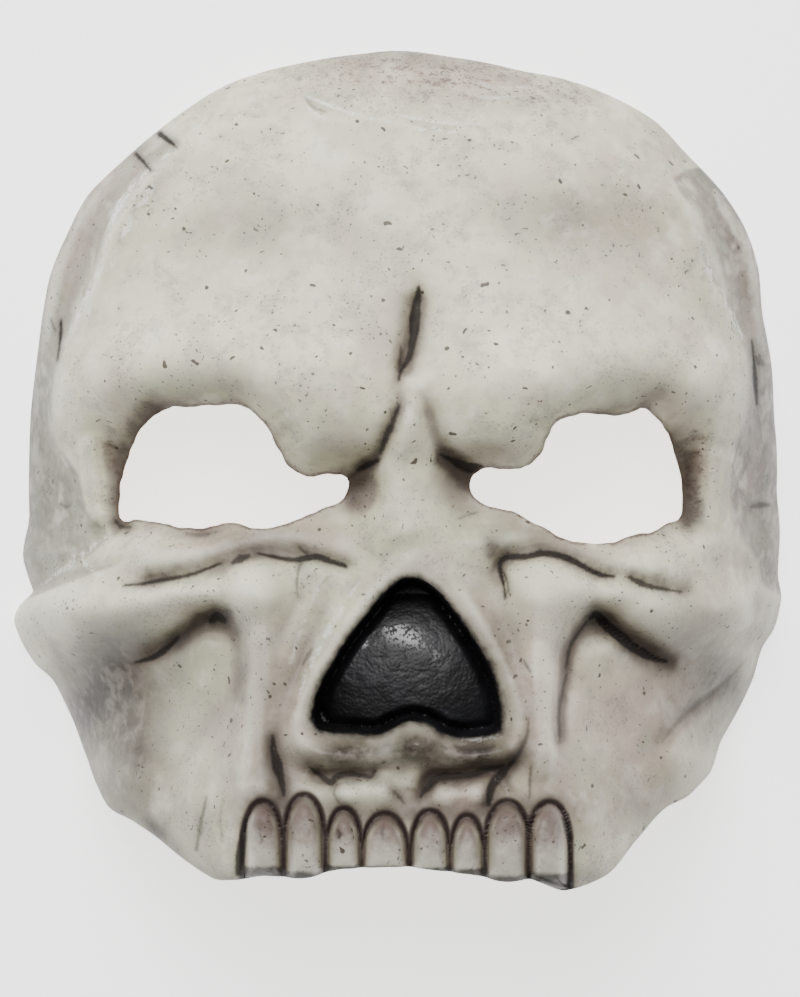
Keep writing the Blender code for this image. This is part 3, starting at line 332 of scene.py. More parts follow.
# Washes of soft shade: name, reach in mm, strength, points in mm
WASHES = (
    ("left cheek hollow shade", 3.6, 0.85,
     ((-57.9, -44.0), (-54.2, -40.9), (-50.3, -38.6), (-46.7, -38.0))),
    ("left pillar shade", 2.6, 0.5, ((-45.9, -38.8), (-42.7, -42.5), (-41.2, -48.0), (-40.6, -59.7))),
    ("left lid shade", 3.0, 0.55,
     ((-64.7, -27.6), (-51.6, -23.9), (-42.5, -21.3), (-35.4, -20.3), (-25.5, -20.0), (-13.7, -23.1))),
    ("right lid shade", 2.8, 0.5,
     ((24.7, -20.0), (29.4, -20.3), (38.6, -20.0), (50.3, -23.1), (63.4, -27.3), (76.5, -30.5))),
    ("right lid corner", 3.4, 0.6, ((24.7, -20.0), (26.0, -22.1))),
    ("right cheek hollow shade", 3.8, 0.75, ((52.1, -36.7), (58.2, -40.9), (66.0, -46.7), (71.8, -49.8))),
    ("right hollow lower shade", 3.0, 0.45, ((59.5, -46.1), (66.0, -51.4), (71.2, -51.4))),
    ("right pillar shade", 2.2, 0.45, ((50.3, -39.3), (45.6, -45.4), (43.5, -57.1), (42.5, -70.2))),
    ("left bridge shade", 2.4, 0.55, ((0.7, 18.7), (-2.5, 10.3), (-6.7, 2.5), (-11.9, -1.7))),
    ("right bridge shade", 2.4, 0.5, ((6.9, 19.7), (10.1, 10.3), (12.7, 3.5), (18.4, -1.7))),
    ("right inner eye shade", 3.4, 1.0, ((12.7, 3.3), (16.9, 0.4), (18.2, -2.7))),
    ("left inner eye shade", 3.4, 0.65, ((-8.2, 0.4), (-10.6, -3.3), (-11.9, -7.4))),
    ("left eye outer shade", 4.2, 0.75,
     ((-64.7, 15.6), (-68.9, 11.4), (-71.5, 4.3), (-72.8, -3.5), (-73.8, -12.2))),
    ("left eye top shade", 2.6, 0.35, ((-64.7, 17.1), (-54.2, 17.4), (-39.9, 17.4))),
    ("right eye outer shade", 4.6, 0.85, ((71.8, 8.2), (75.4, 2.5), (77.0, -4.8), (77.5, -12.2))),
    ("right brow shade", 2.8, 0.45, ((42.5, 10.3), (52.9, 15.6), (63.4, 17.6), (69.1, 20.8))),
    ("left canine shade", 3.2, 0.55, ((-32.8, -69.7), (-31.2, -76.7), (-29.7, -84.6), (-35.4, -88.0))),
    ("left lip shade", 2.8, 0.5, ((-22.9, -77.0), (-16.3, -80.6), (-6.7, -79.1), (0.1, -83.8))),
    ("right lip shade", 3.2, 0.6, ((5.4, -83.8), (10.1, -80.4), (19.0, -79.6), (28.1, -76.7))),
    ("right canine shade", 3.0, 0.6, ((32.0, -73.3), (26.8, -79.6), (23.7, -85.9))),
    ("philtrum shade", 2.6, 0.3, ((8.5, -70.7), (8.0, -76.7), (6.4, -83.3))),
    ("root shade", 3.4, 0.45,
     ((-35.4, -87.4), (-24.2, -85.9), (-13.7, -89.0), (-3.3, -90.1), (8.5, -89.5), (18.2, -90.6),
      (28.6, -87.4), (39.6, -87.4))),
    ("tooth tip shade", 1.5, 0.55,
     ((-39.6, -104.7), (-24.2, -106.0), (-14.0, -103.6), (-3.3, -103.6), (8.5, -104.2), (18.2, -105.0),
      (28.6, -107.0), (39.6, -106.5))),
    ("left cheek line", 2.2, 0.25, ((-91.9, -45.4), (-88.2, -57.1), (-83.0, -70.2))),
    ("right jaw fold", 3.0, 0.35, ((90.6, -56.6), (84.8, -59.7), (79.1, -63.1))),
    ("brow cleft shade", 3.0, 0.4, ((1.7, 44.8), (1.2, 34.4), (0.1, 22.6))),
    ("crown edge shade", 2.2, 0.35,
     ((-25.5, 105.0), (-13.7, 107.6), (0.7, 108.4), (16.3, 107.0), (34.6, 102.9))),
)
# Patches of thin colour, and of wet gloss, by kind: name, x, y, reach across, reach up (all mm), turn in
# degrees, strength
PATCHES = {
    "rust": (
        ("crown", 12, 105, 34, 9, -6, 0.80),
        ("crown left", -16, 106, 14, 6, 8, 0.50),
        ("crown right", 40, 100, 12, 5, -20, 0.35),
        ("right socket wall", 76.5, -3, 4.0, 14, -10, 1.00),
        ("left socket wall", -73, 0, 3, 15, 14, 0.35),
        ("left socket corner", -70, -12, 5, 4, 0, 0.50),
    ),
    # Mauve is a thin colour of the paint, and partly painted shade under the cheekbones, on the jaws and at the
    # sides.
    "mauve": (
        ("left jaw", -76, -65, 18, 14, -50, 1.00),
        ("left jaw low", -66, -80, 14, 10, -40, 0.70),
        ("right jaw", 76, -62, 20, 14, 45, 0.60),
        ("right jaw low", 60, -84, 18, 12, 30, 0.45),
        ("left maxilla", -30, -62, 8, 26, 0, 0.85),
        ("right maxilla", 37, -60, 9, 30, 0, 0.90),
        ("right nose side", 25, -42, 6, 22, 18, 1.00),
        ("left nose side", -24, -38, 6, 16, -25, 0.45),
        ("right side", 92, -5, 9, 42, 0, 0.90),
        ("right temple side", 94, 44, 7, 26, 12, 0.60),
        ("right cheekbone end", 84, -34, 10, 8, 0, 0.60),
        ("right cheek", 56, -62, 16, 22, 0, 0.30),
        ("bridge", 6, 28, 8, 14, 0, 0.30),
        ("bridge left", -10, -4, 7, 8, 0, 0.50),
        ("bridge right", 17, -6, 7, 7, 0, 0.50),
        ("brow middle", -2, 45, 9, 16, 0, 0.55),
        ("left lid", -42, -19, 30, 5, 5, 0.85),
        ("right lid", 42, -16, 24, 5, -8, 0.80),
        ("left cheekbone under", -62, -46, 22, 5, 12, 0.75),
        ("right cheekbone under", 78, -50, 14, 6, -30, 0.60),
        ("tooth roots", 5, -89, 42, 8, 0, 1.00),
        ("right gum", 16, -84, 9, 6, 0, 0.95),
        ("left canine", -34, -84, 9, 10, 0, 0.85),
        ("right canine", 42, -86, 10, 9, 0, 0.70),
        ("right forehead", 62, 62, 24, 26, 0, 0.45),
        ("upper left edge", -72, 82, 15, 10, 42, 0.65),
        ("left temple side", -88, 50, 8, 22, -14, 0.45),
        ("crown blush", 14, 104, 40, 12, -5, 0.65),
        ("left socket top", -60, 17, 16, 4, 14, 0.50),
        ("right brow end", 72, 16, 8, 10, 0, 0.45),
        ("right jaw hollow", 67, -72, 7, 14, -32, 0.85),
    ),
    # Sage is a thin colour of the paint, and partly painted shade in the forehead dips and under the brows and
    # lids.
    "sage": (
        ("left forehead dip", -34, 62, 28, 12, 4, 0.80),
        ("right forehead dip", 44, 66, 20, 9, -8, 1.00),
        ("right forehead spot", 64, 60, 9, 7, 0, 0.70),
        ("left brow under", -22, 9, 22, 9, 10, 0.35),
        ("right brow under", 28, 7, 20, 8, -8, 0.35),
        ("left socket over", -56, 22, 20, 6, 6, 0.65),
        ("right socket over", 62, 22, 20, 6, -4, 0.60),
        ("left cheek", -50, -62, 16, 20, 0, 0.65),
        ("left cheek wall", -70, -50, 22, 7, 12, 0.60),
        ("right cheek top", 62, -44, 14, 6, -30, 0.60),
        ("nose top", 5, -27, 9, 8, 0, 1.00),
        ("upper lip", 4, -72.5, 30, 6, 0, 1.00),
        ("left side", -95, 20, 9, 46, 6, 0.55),
        ("left side low", -92, -22, 10, 14, 0, 0.50),
        ("left lip corner", -58, -92, 16, 8, -20, 0.55),
    ),
    # Painted highlights on the tops of the brows, cheekbones, knobs, lids and forehead.
    "cream_highlight": (
        ("left temple", -70, 38, 18, 12, 0, 0.60),
        ("forehead", -22, 84, 40, 14, 6, 0.80),
        ("forehead right", 34, 84, 22, 10, -10, 0.60),
        ("left brow", -40, 42, 34, 12, 0, 0.75),
        ("right brow", 40, 38, 36, 16, 0, 0.90),
        ("brow middle light", 0, 58, 16, 14, 0, 0.60),
        ("left cheekbone", -74, -34, 26, 7, 0, 1.00),
        ("left knob", -36, -30, 10, 8, 0, 0.80),
        ("right knob", 38, -29, 11, 9, 0, 0.70),
        ("right cheekbone", 66, -38, 14, 8, -28, 0.70),
        ("left lid light", -64, -19, 14, 5, 0, 0.60),
        ("right lid light", 70, -20, 24, 6, 6, 0.60),
        ("left cheek light", -56, -74, 8, 14, 0, 0.40),
        ("left pads light", -10, -83, 9, 4, 0, 1.00),
        ("lip corner light", -27, -72, 5, 5, 0, 0.60),
        ("bridge light", 5, -6, 8, 20, 0, 1.00),
        ("left jaw light", -73, -81, 5, 5, 0, 0.70),
        ("left cheek plain", -54, -68, 8, 16, 0, 0.35),
    ),
    # Umber is dark brown paint at the lips, lids and edges, and partly painted shade on the jaws and sides that
    # turn away from the light.
    "umber": (
        ("left jaw edge", -83, -62, 8, 20, -30, 0.85),
        ("left jaw low edge", -73, -80, 7, 16, -32, 0.75),
        ("left side edge", -99, 20, 5, 42, 4, 0.60),
        ("left side low edge", -99, -24, 4, 14, 0, 0.35),
        ("right side edge", 98, 0, 5, 46, 0, 0.55),
        ("left lip roll", -12, -73.0, 15, 5.6, 0, 0.95),
        ("right lip roll", 20, -73.0, 14, 5.8, 0, 1.00),
        ("lip middle", 4, -71.0, 8, 5.0, 0, 0.85),
        ("left lip corner crease", -33, -76, 4, 8, 10, 0.55),
        ("crown edge", 10, 111, 56, 3.0, 0, 0.40),
        ("left crown edge", -66, 92, 34, 3.0, 44, 0.40),
        ("right crown edge", 74, 88, 34, 3.0, -48, 0.35),
        ("right jaw edge", 88, -56, 7, 18, 35, 0.65),
        ("right jaw low edge", 66, -90, 5, 18, 45, 0.35),
        ("left corner edge", -56, -103, 24, 4, -26, 0.45),
        ("right corner edge", 48, -106, 16, 3, -14, 0.45),
        ("left cheek wall low", -68, -56, 12, 12, -20, 0.30),
        ("tooth row", 5, -89, 44, 5, 0, 0.45),
        ("lower left face", -74, -62, 14, 22, -24, 0.55),
        ("lower right face", 80, -62, 14, 24, 28, 0.45),
        ("left maxilla low", -34, -84, 12, 10, 0, 0.30),
        ("right maxilla low", 40, -88, 12, 9, 0, 0.25),
        ("nose surround left", -25, -52, 5, 18, -20, 0.30),
        ("nose surround right", 28, -50, 5, 20, 18, 0.45),
        ("right jaw fold", 76, -64, 3.5, 12, -50, 0.40),
        ("left jaw wall", -77, -54, 8, 12, -30, 0.50),
        ("left torn edge", -64, -94.5, 6, 2.6, -45, 0.85),
        ("left lid top", -38, -16.5, 15, 4, 5, 0.50),
        ("left lid stain", -51, -16.3, 4, 1.4, 0, 0.75),
        ("right lid top", 36, -15.5, 12, 4, -10, 0.40),
        ("left pillar side", -35, -54, 5, 20, 0, 0.35),
    ),
    "pink": (
        ("crown pink left", -30, 97, 14, 6, 10, 0.90),
        ("crown pink", 6, 104, 40, 9, -4, 0.80),
        ("forehead pink", 16, 78, 26, 12, 0, 0.60),
        ("right forehead pink", 60, 56, 22, 24, 0, 0.75),
        ("left forehead pink", -46, 46, 22, 12, 0, 0.55),
        ("middle pink", -6, 42, 10, 26, 0, 0.70),
        ("right brow pink", 66, 36, 20, 12, 0, 0.50),
        ("right cheek pink", 58, -60, 22, 26, 0, 0.75),
        ("left maxilla pink", -36, -64, 10, 28, 0, 0.80),
        ("right maxilla pink", 38, -60, 10, 30, 0, 0.80),
        ("gum pink", 18, -85, 10, 6, 0, 1.00),
        ("left temple pink", -84, 66, 12, 22, -30, 0.50),
        ("bridge pink", 4, 18, 9, 24, 0, 0.70),
        ("right lid pink", 60, -18, 26, 8, 0, 0.60),
        ("left lid pink", -50, -17, 20, 5, 5, 0.50),
    ),
    "wet": (
        ("nose top glint", -0.6, -40.5, 2.4, 3.0, -20, 1.00),
        ("nose glint", 2.6, -43.0, 4.6, 2.2, -22, 1.00),
        ("nose upper glint", 5.5, -36.4, 5.5, 0.9, -14, 0.90),
        ("nose left glint", -8.5, -45.0, 2.0, 0.9, 0, 0.80),
        ("nose right glint", 11.6, -48.6, 1.8, 2.6, 30, 0.70),
        ("nose low glint", 13.0, -54.6, 1.8, 1.9, 0, 1.00),
        ("nose lower dots", 9.4, -56.0, 1.6, 2.4, 20, 0.60),
        ("lip dot", 5.6, -71.6, 0.8, 0.8, 0, 0.80),
    ),
}
# Planes at the temples that lie behind the face: closed outlines in mm, left and right
SIDE_PLANES = (
    ((-60, 90), (-66, 78), (-71, 70), (-76.5, 62), (-80.5, 48), (-86, 37), (-89.5, 30), (-91.5, 20),
     (-91.5, 12), (-89.5, 6), (-84, -1), (-82, -10), (-76, -17), (-84, -24), (-97, -31), (-130, -31), (-130, 90)),
    ((76, 80), (77, 70), (78.5, 63), (81, 54), (86.5, 44), (91.5, 34), (93.0, 26), (92.5, 16), (89.5, 8),
     (88, -4), (89, -14), (96, -24), (100, -32), (130, -32), (130, 80)),
)
# Forms smaller than the model's: name, x, y, reach across, reach up (all mm), turn in degrees, rise in mm
BULGES = (
    ("left inner brow", -17, 14, 16, 13, 12, 1.6),
    ("right inner brow", 24, 14, 18, 12, -6, 1.6),
    ("left brow boss", -80, 25, 13, 11, 20, 1.3),
    ("right brow boss", 84, 22, 11, 13, -10, 1.3),
    ("left brow middle", -50, 30, 20, 8, 4, 0.8),
    ("right brow middle", 56, 32, 20, 8, -4, 0.8),
    ("left knob", -36, -29.5, 9, 7, -10, 1.5),
    ("right knob", 38.5, -31, 10, 9, 8, 1.7),
    ("left cheekbone end", -88, -37, 12, 8, 8, 1.2),
    ("right cheekbone lobe", 64, -38, 15, 7, -30, 1.7),
    ("left cheek hollow", -52, -56, 12, 20, 0, -1.6),
    ("right cheek hollow", 56, -58, 14, 18, 0, -1.4),
    ("left cheek pocket", -50, -42, 9, 4, 25, -1.2),
    ("right cheek pocket", 54, -41, 9, 4, -25, -1.2),
    ("right jaw dip", 80, -60, 9, 12, 35, -1.2),
    ("left jaw dip", -78, -62, 8, 14, -25, -1.0),
    ("left root pad", -14, -82.5, 4.4, 3.6, 0, 1.5),
    ("middle left root pad", -4, -82, 4.0, 3.4, 0, 1.1),
    ("right root pad", 13, -83.5, 3.6, 4.2, 0, 1.3),
    ("right root pad end", 20.5, -83.5, 3.8, 4.2, 0, 1.3),
    ("gap between pads", 4.5, -79, 3.5, 5, 0, -1.2),
    ("lip middle", 6, -71, 6, 4.5, 0, 1.0),
    ("left lip hollow", -28, -79, 4, 5, 0, -1.0),
    ("right lip hollow", 28, -80, 3.5, 6, 0, -0.9),
    ("left bridge side", -13, -6, 6, 6, 0, -0.5),
    ("right bridge side", 18, -7, 6, 5, 0, -0.5),
    ("left forehead dip", -34, 60, 22, 8, 4, -0.9),
    ("right forehead dip", 44, 63, 20, 8, -6, -0.9),
    ("forehead middle", 4, 84, 36, 14, 0, 0.8),
    ("right forehead bump", 26, 47, 12, 9, 20, 0.5),
    ("left forehead bump", -24, 46, 12, 9, -20, 0.5),
)
# Folds that stand up, and creases where the rise is below 0: name, rise and half breadth in mm, points in mm
FOLDS = (
    ("left lid roll", 1.0, 3.6,
     ((-77.0, -20.0), (-65.0, -21.5), (-52.0, -20.5), (-39.0, -17.5), (-28.0, -16.8))),
    ("right lid roll", 0.9, 3.6,
     ((28.0, -15.5), (40.0, -17.0), (52.0, -22.5), (70.0, -26.5), (86.0, -22.0))),
    ("left cheekbone roll", 1.1, 5.5,
     ((-97.0, -38.0), (-86.0, -36.7), (-73.0, -36.0), (-60.0, -33.0), (-50.0, -30.0))),
    ("right temple edge", 0.9, 2.8, ((74.5, 64.0), (77.0, 55.0), (82.5, 44.5), (88.0, 34.0), (90.0, 24.0))),
    ("left cheek edge", 0.7, 2.2, ((-72.0, -20.0), (-80.0, -26.0), (-90.0, -31.0))),
    ("left pillar", 1.1, 3.4,
     ((-37.5, -37.0), (-36.5, -50.0), (-37.0, -62.0), (-35.5, -74.0), (-32.0, -84.0))),
    ("right pillar", 1.2, 3.2, ((39.5, -38.0), (38.0, -50.0), (38.5, -64.0), (38.5, -74.0), (36.0, -84.0))),
    ("left pillar side", -0.9, 2.2, ((-44.0, -39.0), (-42.0, -47.0), (-42.0, -60.0), (-43.0, -72.0))),
    ("right pillar side", -0.9, 2.0, ((47.5, -43.0), (43.5, -50.0), (42.5, -60.0), (43.0, -70.0))),
    ("left nose fold", 0.8, 2.4,
     ((-17.5, -21.0), (-24.0, -36.0), (-30.0, -52.0), (-30.5, -62.0), (-27.0, -70.0))),
    ("right nose fold", 1.0, 2.4,
     ((17.0, -33.0), (23.0, -44.0), (28.5, -55.0), (30.5, -66.0), (25.5, -73.5))),
    ("left lip roll", 1.3, 3.0, ((-28.0, -70.5), (-18.0, -72.5), (-8.0, -72.0), (1.0, -69.0))),
    ("right lip roll", 1.3, 3.0, ((10.0, -70.0), (18.0, -73.5), (26.0, -73.0), (31.0, -68.5))),
    ("left lip crevice", -1.2, 1.8,
     ((-29.0, -75.0), (-22.0, -80.0), (-16.0, -78.0), (-7.0, -78.0), (1.0, -76.5))),
    ("right lip crevice", -1.2, 1.8,
     ((8.0, -81.0), (14.0, -78.5), (24.0, -78.0), (28.0, -82.0), (30.0, -86.0))),
    ("left cheek crease", -0.8, 2.6, ((-68.0, -53.0), (-58.0, -45.0), (-49.0, -40.5))),
    ("right cheek crease", -1.0, 2.6, ((52.0, -37.5), (60.0, -42.5), (72.0, -50.0))),
    ("right jaw fold", 0.9, 2.4, ((90.0, -57.0), (83.0, -64.0), (75.0, -70.5), (70.0, -80.0))),
    ("right jaw crease", -0.7, 2.2, ((91.0, -53.0), (83.0, -60.0), (75.0, -66.0), (69.0, -74.0))),
    ("left jaw fold", 0.8, 2.6, ((-88.0, -58.0), (-82.0, -66.0), (-77.0, -78.0), (-68.0, -86.0))),
    ("left tooth corner", 0.7, 2.8, ((-52.0, -72.0), (-54.0, -84.0), (-52.0, -98.0))),
    ("left tooth crease", -0.5, 1.6, ((-50.0, -76.0), (-51.5, -88.0), (-52.0, -96.0))),
    ("right corner fold", 0.6, 3.2, ((50.0, -84.0), (52.0, -94.0), (56.0, -103.0))),
    ("inner left lid fold", -0.6, 1.5, ((-21.0, -26.0), (-24.0, -30.0), (-25.0, -36.0))),
    ("left nose wrinkle", -0.5, 1.5, ((-18.0, -33.0), (-23.0, -44.0), (-26.5, -54.0))),
    ("left nose wrinkle above", 0.4, 1.5, ((-15.5, -34.0), (-20.5, -45.0), (-24.0, -54.0))),
    ("left flap fold", 0.45, 1.1, ((-24.5, 99.2), (-16.7, 95.8), (-10.1, 93.5), (-2.7, 91.5), (5.9, 89.8))),
    ("right flap fold", 0.40, 1.0, ((0.7, 93.6), (7.3, 92.3), (14.0, 91.5), (23.3, 91.2))),
)
# Thin pale lines, partly where paint is rubbed off and partly painted highlight along the temple edges and folds:
# name, half widths in mm, strength, points in mm
WRINKLES = (
    ("left flap", (0.2, 0.55, 0.6, 0.5, 0.3), 1.0,
     ((-24.5, 99.2), (-16.7, 95.8), (-10.1, 93.5), (-2.7, 91.5), (5.9, 89.8), (8.7, 89.4))),
    ("right flap", (0.2, 0.6, 0.5, 0.2), 0.9, ((0.7, 93.6), (7.3, 92.3), (14.0, 91.5), (23.3, 91.2))),
    ("lower flap", (0.3, 0.6, 0.4), 0.8, ((9.5, 90.4), (13.0, 88.8), (17.3, 90.1), (20.5, 89.4))),
    ("flap corner", (0.2, 0.5, 0.2), 0.8, ((-24.8, 97.2), (-22.0, 94.4), (-18.0, 92.0))),
    ("crown wrinkle", (0.3, 0.7, 0.3), 0.6, ((20.0, 103.0), (27.0, 101.2), (34.0, 101.8))),
    ("second crown wrinkle", (0.3, 0.6, 0.3), 0.5, ((18.0, 100.0), (24.0, 98.5), (31.0, 99.0))),
    ("left temple scuff", (0.4, 1.0, 0.8, 0.4), 0.9,
     ((-66.0, 79.5), (-72.0, 72.5), (-75.5, 66.0), (-77.0, 60.5))),
    ("left temple edge light", (0.5, 1.1, 0.9, 0.5), 0.9,
     ((-77.0, 57.0), (-80.0, 50.0), (-84.0, 42.5), (-88.5, 33.5))),
    ("left temple crack light", (0.3, 0.8, 0.4), 0.7, ((-62.5, 82.5), (-59.5, 84.5), (-56.5, 87.5))),
    ("right temple edge light", (0.3, 0.9, 0.8, 0.4), 0.7,
     ((79.5, 62.0), (82.0, 53.0), (87.0, 44.5), (91.8, 35.0))),
    ("left cheek fleck", (0.3, 0.9, 0.3), 0.8, ((-86.5, -22.0), (-82.0, -24.5), (-77.5, -28.5))),
    ("left cheek edge light", (0.3, 0.9, 0.4), 0.6, ((-95.0, -30.0), (-86.0, -24.0), (-77.0, -17.0))),
    ("nose lip glint", (0.2, 0.6, 0.3), 1.0, ((17.0, -70.0), (22.0, -69.8), (27.0, -68.8))),
    ("left nose side light", (0.3, 0.9, 0.7, 0.3), 0.7,
     ((-10.0, -29.0), (-17.0, -40.0), (-23.0, -51.0), (-25.5, -58.0))),
    ("left temple scuff low", (0.4, 1.2, 0.9, 0.3), 0.8, ((-76.5, 52.7), (-75.2, 55.6), (-74.0, 59.0))),
    ("left temple scuff middle", (0.3, 1.1, 1.0, 0.4), 0.9, ((-72.5, 61.8), (-71.0, 64.6), (-70.5, 67.5))),
    ("left temple scuff high", (0.3, 1.0, 1.1, 0.4), 0.8, ((-68.6, 69.7), (-66.4, 72.0), (-64.7, 75.4))),
    ("left temple scuff outer", (0.3, 0.9, 0.5), 0.7, ((-83.0, 37.0), (-81.8, 41.0), (-80.4, 45.5))),
    ("left nose side light two", (0.3, 0.7, 0.3), 0.4, ((-19.0, -27.0), (-24.0, -38.0), (-28.0, -50.0))),
)


def eased(share):
    """0 below 0, 1 above 1, and a smooth step between."""
    share = np.clip(share, 0.0, 1.0)
    return share * share * (3.0 - 2.0 * share)


def through(knots, values, at):
    """Smooth curve through the values that never swings past them (a monotone cubic)."""
    knots = np.asarray(knots, float)
    values = np.asarray(values, float)
    step = np.diff(knots)
    slope = np.diff(values) / step
    before, after = slope[:-1], slope[1:]
    same_way = before * after > 0
    tangent = np.zeros(len(knots))
    tangent[1:-1] = np.where(same_way, 2 * before * after / np.where(same_way, before + after, 1.0), 0.0)
    span = np.clip(np.searchsorted(knots, at) - 1, 0, len(step) - 1)
    t = (at - knots[span]) / step[span]
    rise = values[span] + (values[span + 1] - values[span]) * t * t * (3 - 2 * t)
    return rise + step[span] * t * (1 - t) * (tangent[span] * (1 - t) - tangent[span + 1] * t)


def drawn(points, steps=6, closed=False):
    """Points along a smooth line through the given ones (Catmull-Rom)."""
    points = np.asarray(points, float)
    if closed:
        padded = np.vstack([points[-1], points, points[:2]])
    else:
        padded = np.vstack([2 * points[0] - points[1], points, 2 * points[-1] - points[-2]])
    t = np.linspace(0, 1, steps, endpoint=False)[:, None]
    line = []
    for a, b, c, d in zip(padded, padded[1:], padded[2:], padded[3:]):
        bend = (2 * a - 5 * b + 4 * c - d) * t**2
        line.append(0.5 * (2 * b + (c - a) * t + bend + (3 * b - a - 3 * c + d) * t**3))
    if not closed:
        line.append(points[-1:])
    return np.vstack(line)


def evenly(line, step, closed=False):
    """The same line with points at even steps."""
    line = np.vstack([line, line[:1]]) if closed else line
    gone = np.append(0, np.cumsum(np.hypot(*np.diff(line, axis=0).T)))
    count = max(2, round(gone[-1] / step))
    at = np.linspace(0, gone[-1], count, endpoint=False) if closed else np.linspace(0, gone[-1], count + 1)
    return np.column_stack([np.interp(at, gone, line[:, 0]), np.interp(at, gone, line[:, 1])])


def beside(line, gap, closed=False):
    """A line moved sideways, to its left."""
    padded = np.vstack([line[-1], line, line[0]]) if closed else np.vstack([line[0], line, line[-1]])
    run = padded[2:] - padded[:-2]
    run /= np.hypot(run[:, 0], run[:, 1])[:, None]
    return line + gap * np.column_stack([-run[:, 1], run[:, 0]])


def nearest_on(line, x, y, closed=False):
    """Distance from each point to the line, and how far along it the nearest point lies, from 0 to 1."""
    starts = line if closed else line[:-1]
    run = (np.roll(line, -1, axis=0) if closed else line[1:]) - starts
    from_x, from_y = x[..., None] - starts[:, 0], y[..., None] - starts[:, 1]
    share = np.clip((from_x * run[:, 0] + from_y * run[:, 1]) / (run**2).sum(axis=1), 0, 1)
    distance = np.hypot(from_x - share * run[:, 0], from_y - share * run[:, 1])
    best = distance.argmin(axis=-1)[..., None]
    along = (best + np.take_along_axis(share, best, -1))[..., 0] / len(starts)
    return np.take_along_axis(distance, best, -1)[..., 0], along


def hole_line(hole):
    """A hole's outline in metres, as a closed line."""
    middle_x, middle_y, width, height, outline = hole
    shares = drawn(outline, 3, closed=True)
    return np.column_stack(
        [middle_x * HALF_WIDTH + shares[:, 0] * width / 2, middle_y * HALF_HEIGHT + shares[:, 1] * height / 2]
    )


def outside(line, x, y):
    """Distance outside a closed line, negative inside it."""
    distance, _ = nearest_on(line, x, y, closed=True)
    after = np.roll(line, -1, axis=0)
    run = after - line
    rise = np.where(run[:, 1] == 0, 1.0, run[:, 1])
    spans = (line[:, 1] > y[..., None]) != (after[:, 1] > y[..., None])
    reached = x[..., None] < line[:, 0] + (y[..., None] - line[:, 1]) * run[:, 0] / rise
    inside = (spans & reached).sum(axis=-1) % 2 == 1
    return np.where(inside, -distance, distance)


EYE_LINES = (hole_line(LEFT_EYE_HOLE), hole_line(RIGHT_EYE_HOLE))
NOSE_LINE = hole_line(NOSE_HOLLOW)


def edge_curves():
    """The outline as columns over its angle round the nose bridge, with both ends wrapped once round."""
    rows = np.array([(*row, 0.0, 3.0)[:4] for row in OUTLINE])
    x, y = rows[:, 0] * HALF_WIDTH, rows[:, 1] * HALF_HEIGHT
    angle = np.arctan2(y, x)
    order = np.argsort(angle)
    columns = np.column_stack([angle, np.hypot(x, y), rows[:, 2] * FACE_DEPTH, rows[:, 3]])[order]
    turn = np.array([2 * math.pi, 0, 0, 0])
    return np.vstack([columns[-6:] - turn, columns, columns[:6] + turn])


EDGE = edge_curves()
# Turns in degrees and weights of the outline's mean over a few degrees
EDGE_SOFTENING = ((-12, 0.15), (-6, 0.22), (0, 0.26), (6, 0.22), (12, 0.15))


def edge_at(angle):
    """Radius, lift above the rim's plane and fullness of the outline at an angle round the nose bridge."""
    return tuple(through(EDGE[:, 0], EDGE[:, column], angle) for column in (1, 2, 3))


def turned(x, y, middle_x, middle_y, reach_x, reach_y, turn):
    """Distance squared from an ellipse's middle, 1 on its outline: (a / reach_x)^2 + (b / reach_y)^2."""
    across, up = x - middle_x, y - middle_y
    cosine, sine = math.cos(math.radians(turn)), math.sin(math.radians(turn))
    a, b = (across * cosine + up * sine) / reach_x, (up * cosine - across * sine) / reach_y
    return a * a + b * b


def mound(x, y, row):
    """A bell over a turned ellipse: rise * exp(-(distance ^ 2) ^ squareness)."""
    _, *ellipse, rise, squareness = row
    return rise * RELIEF * np.exp(-(turned(x / HALF_WIDTH, y / HALF_HEIGHT, *ellipse) ** squareness))


def ridge(x, y, row):
    """A bell across a drawn line, rise * exp(-(distance / breadth) ^ 2), which fades out at both ends."""
    _, rise, breadth, points = row
    distance, along = nearest_on(drawn(points), x / HALF_WIDTH, y / HALF_HEIGHT)
    fade = 0.35 + 0.65 * eased(np.minimum(along, 1 - along) / 0.18)
    return rise * RELIEF * fade * np.exp(-((distance / breadth) ** 2))


def dome(x, y):
    """The head under the forms: rim + (front - rim) * (1 - share of the radius ^ fullness) ^ 0.8."""
    angle = np.arctan2(y, x)
    radius, lift, fullness = edge_at(angle)
    share = np.hypot(x, y) / radius
    # The outline's small bends die out away from the edge.
    soft_radius = sum(weight * edge_at(angle + math.radians(turn))[0] for turn, weight in EDGE_SOFTENING)
    share += (np.hypot(x, y) / soft_radius - share) * (1 - eased((share - 0.6) / 0.4))
    rim = RIM_SLOPE * y + lift
    front = FACE_DEPTH * through(*zip(*PROFILE), y / HALF_HEIGHT)
    inner = np.clip(1 - np.minimum(share, 1.0) ** fullness, 0, 1) ** 0.8
    return rim + (front - rim) * (inner - 4.0 * np.maximum(share - 1.0, 0.0)), share


def sockets(x, y):
    """How far the skin falls back towards the eye holes, and how far the brows above them turn under."""
    fall = np.zeros(x.shape)
    for line in EYE_LINES:
        distance = outside(line, x, y)
        above = eased(1.5 * (outside(line, x, y + 0.1 * WALL) - distance) / (0.1 * WALL) - 0.1)
        socket = SOCKET_DEPTH * (1 - eased(distance / SOCKET_MARGIN)) * (distance < SOCKET_MARGIN)
        roll = BROW_ROLL * np.clip(1 - distance / BROW_MARGIN, 0, 1) ** 2
        fall += socket * (1 - 0.75 * above) + roll * above
    return fall


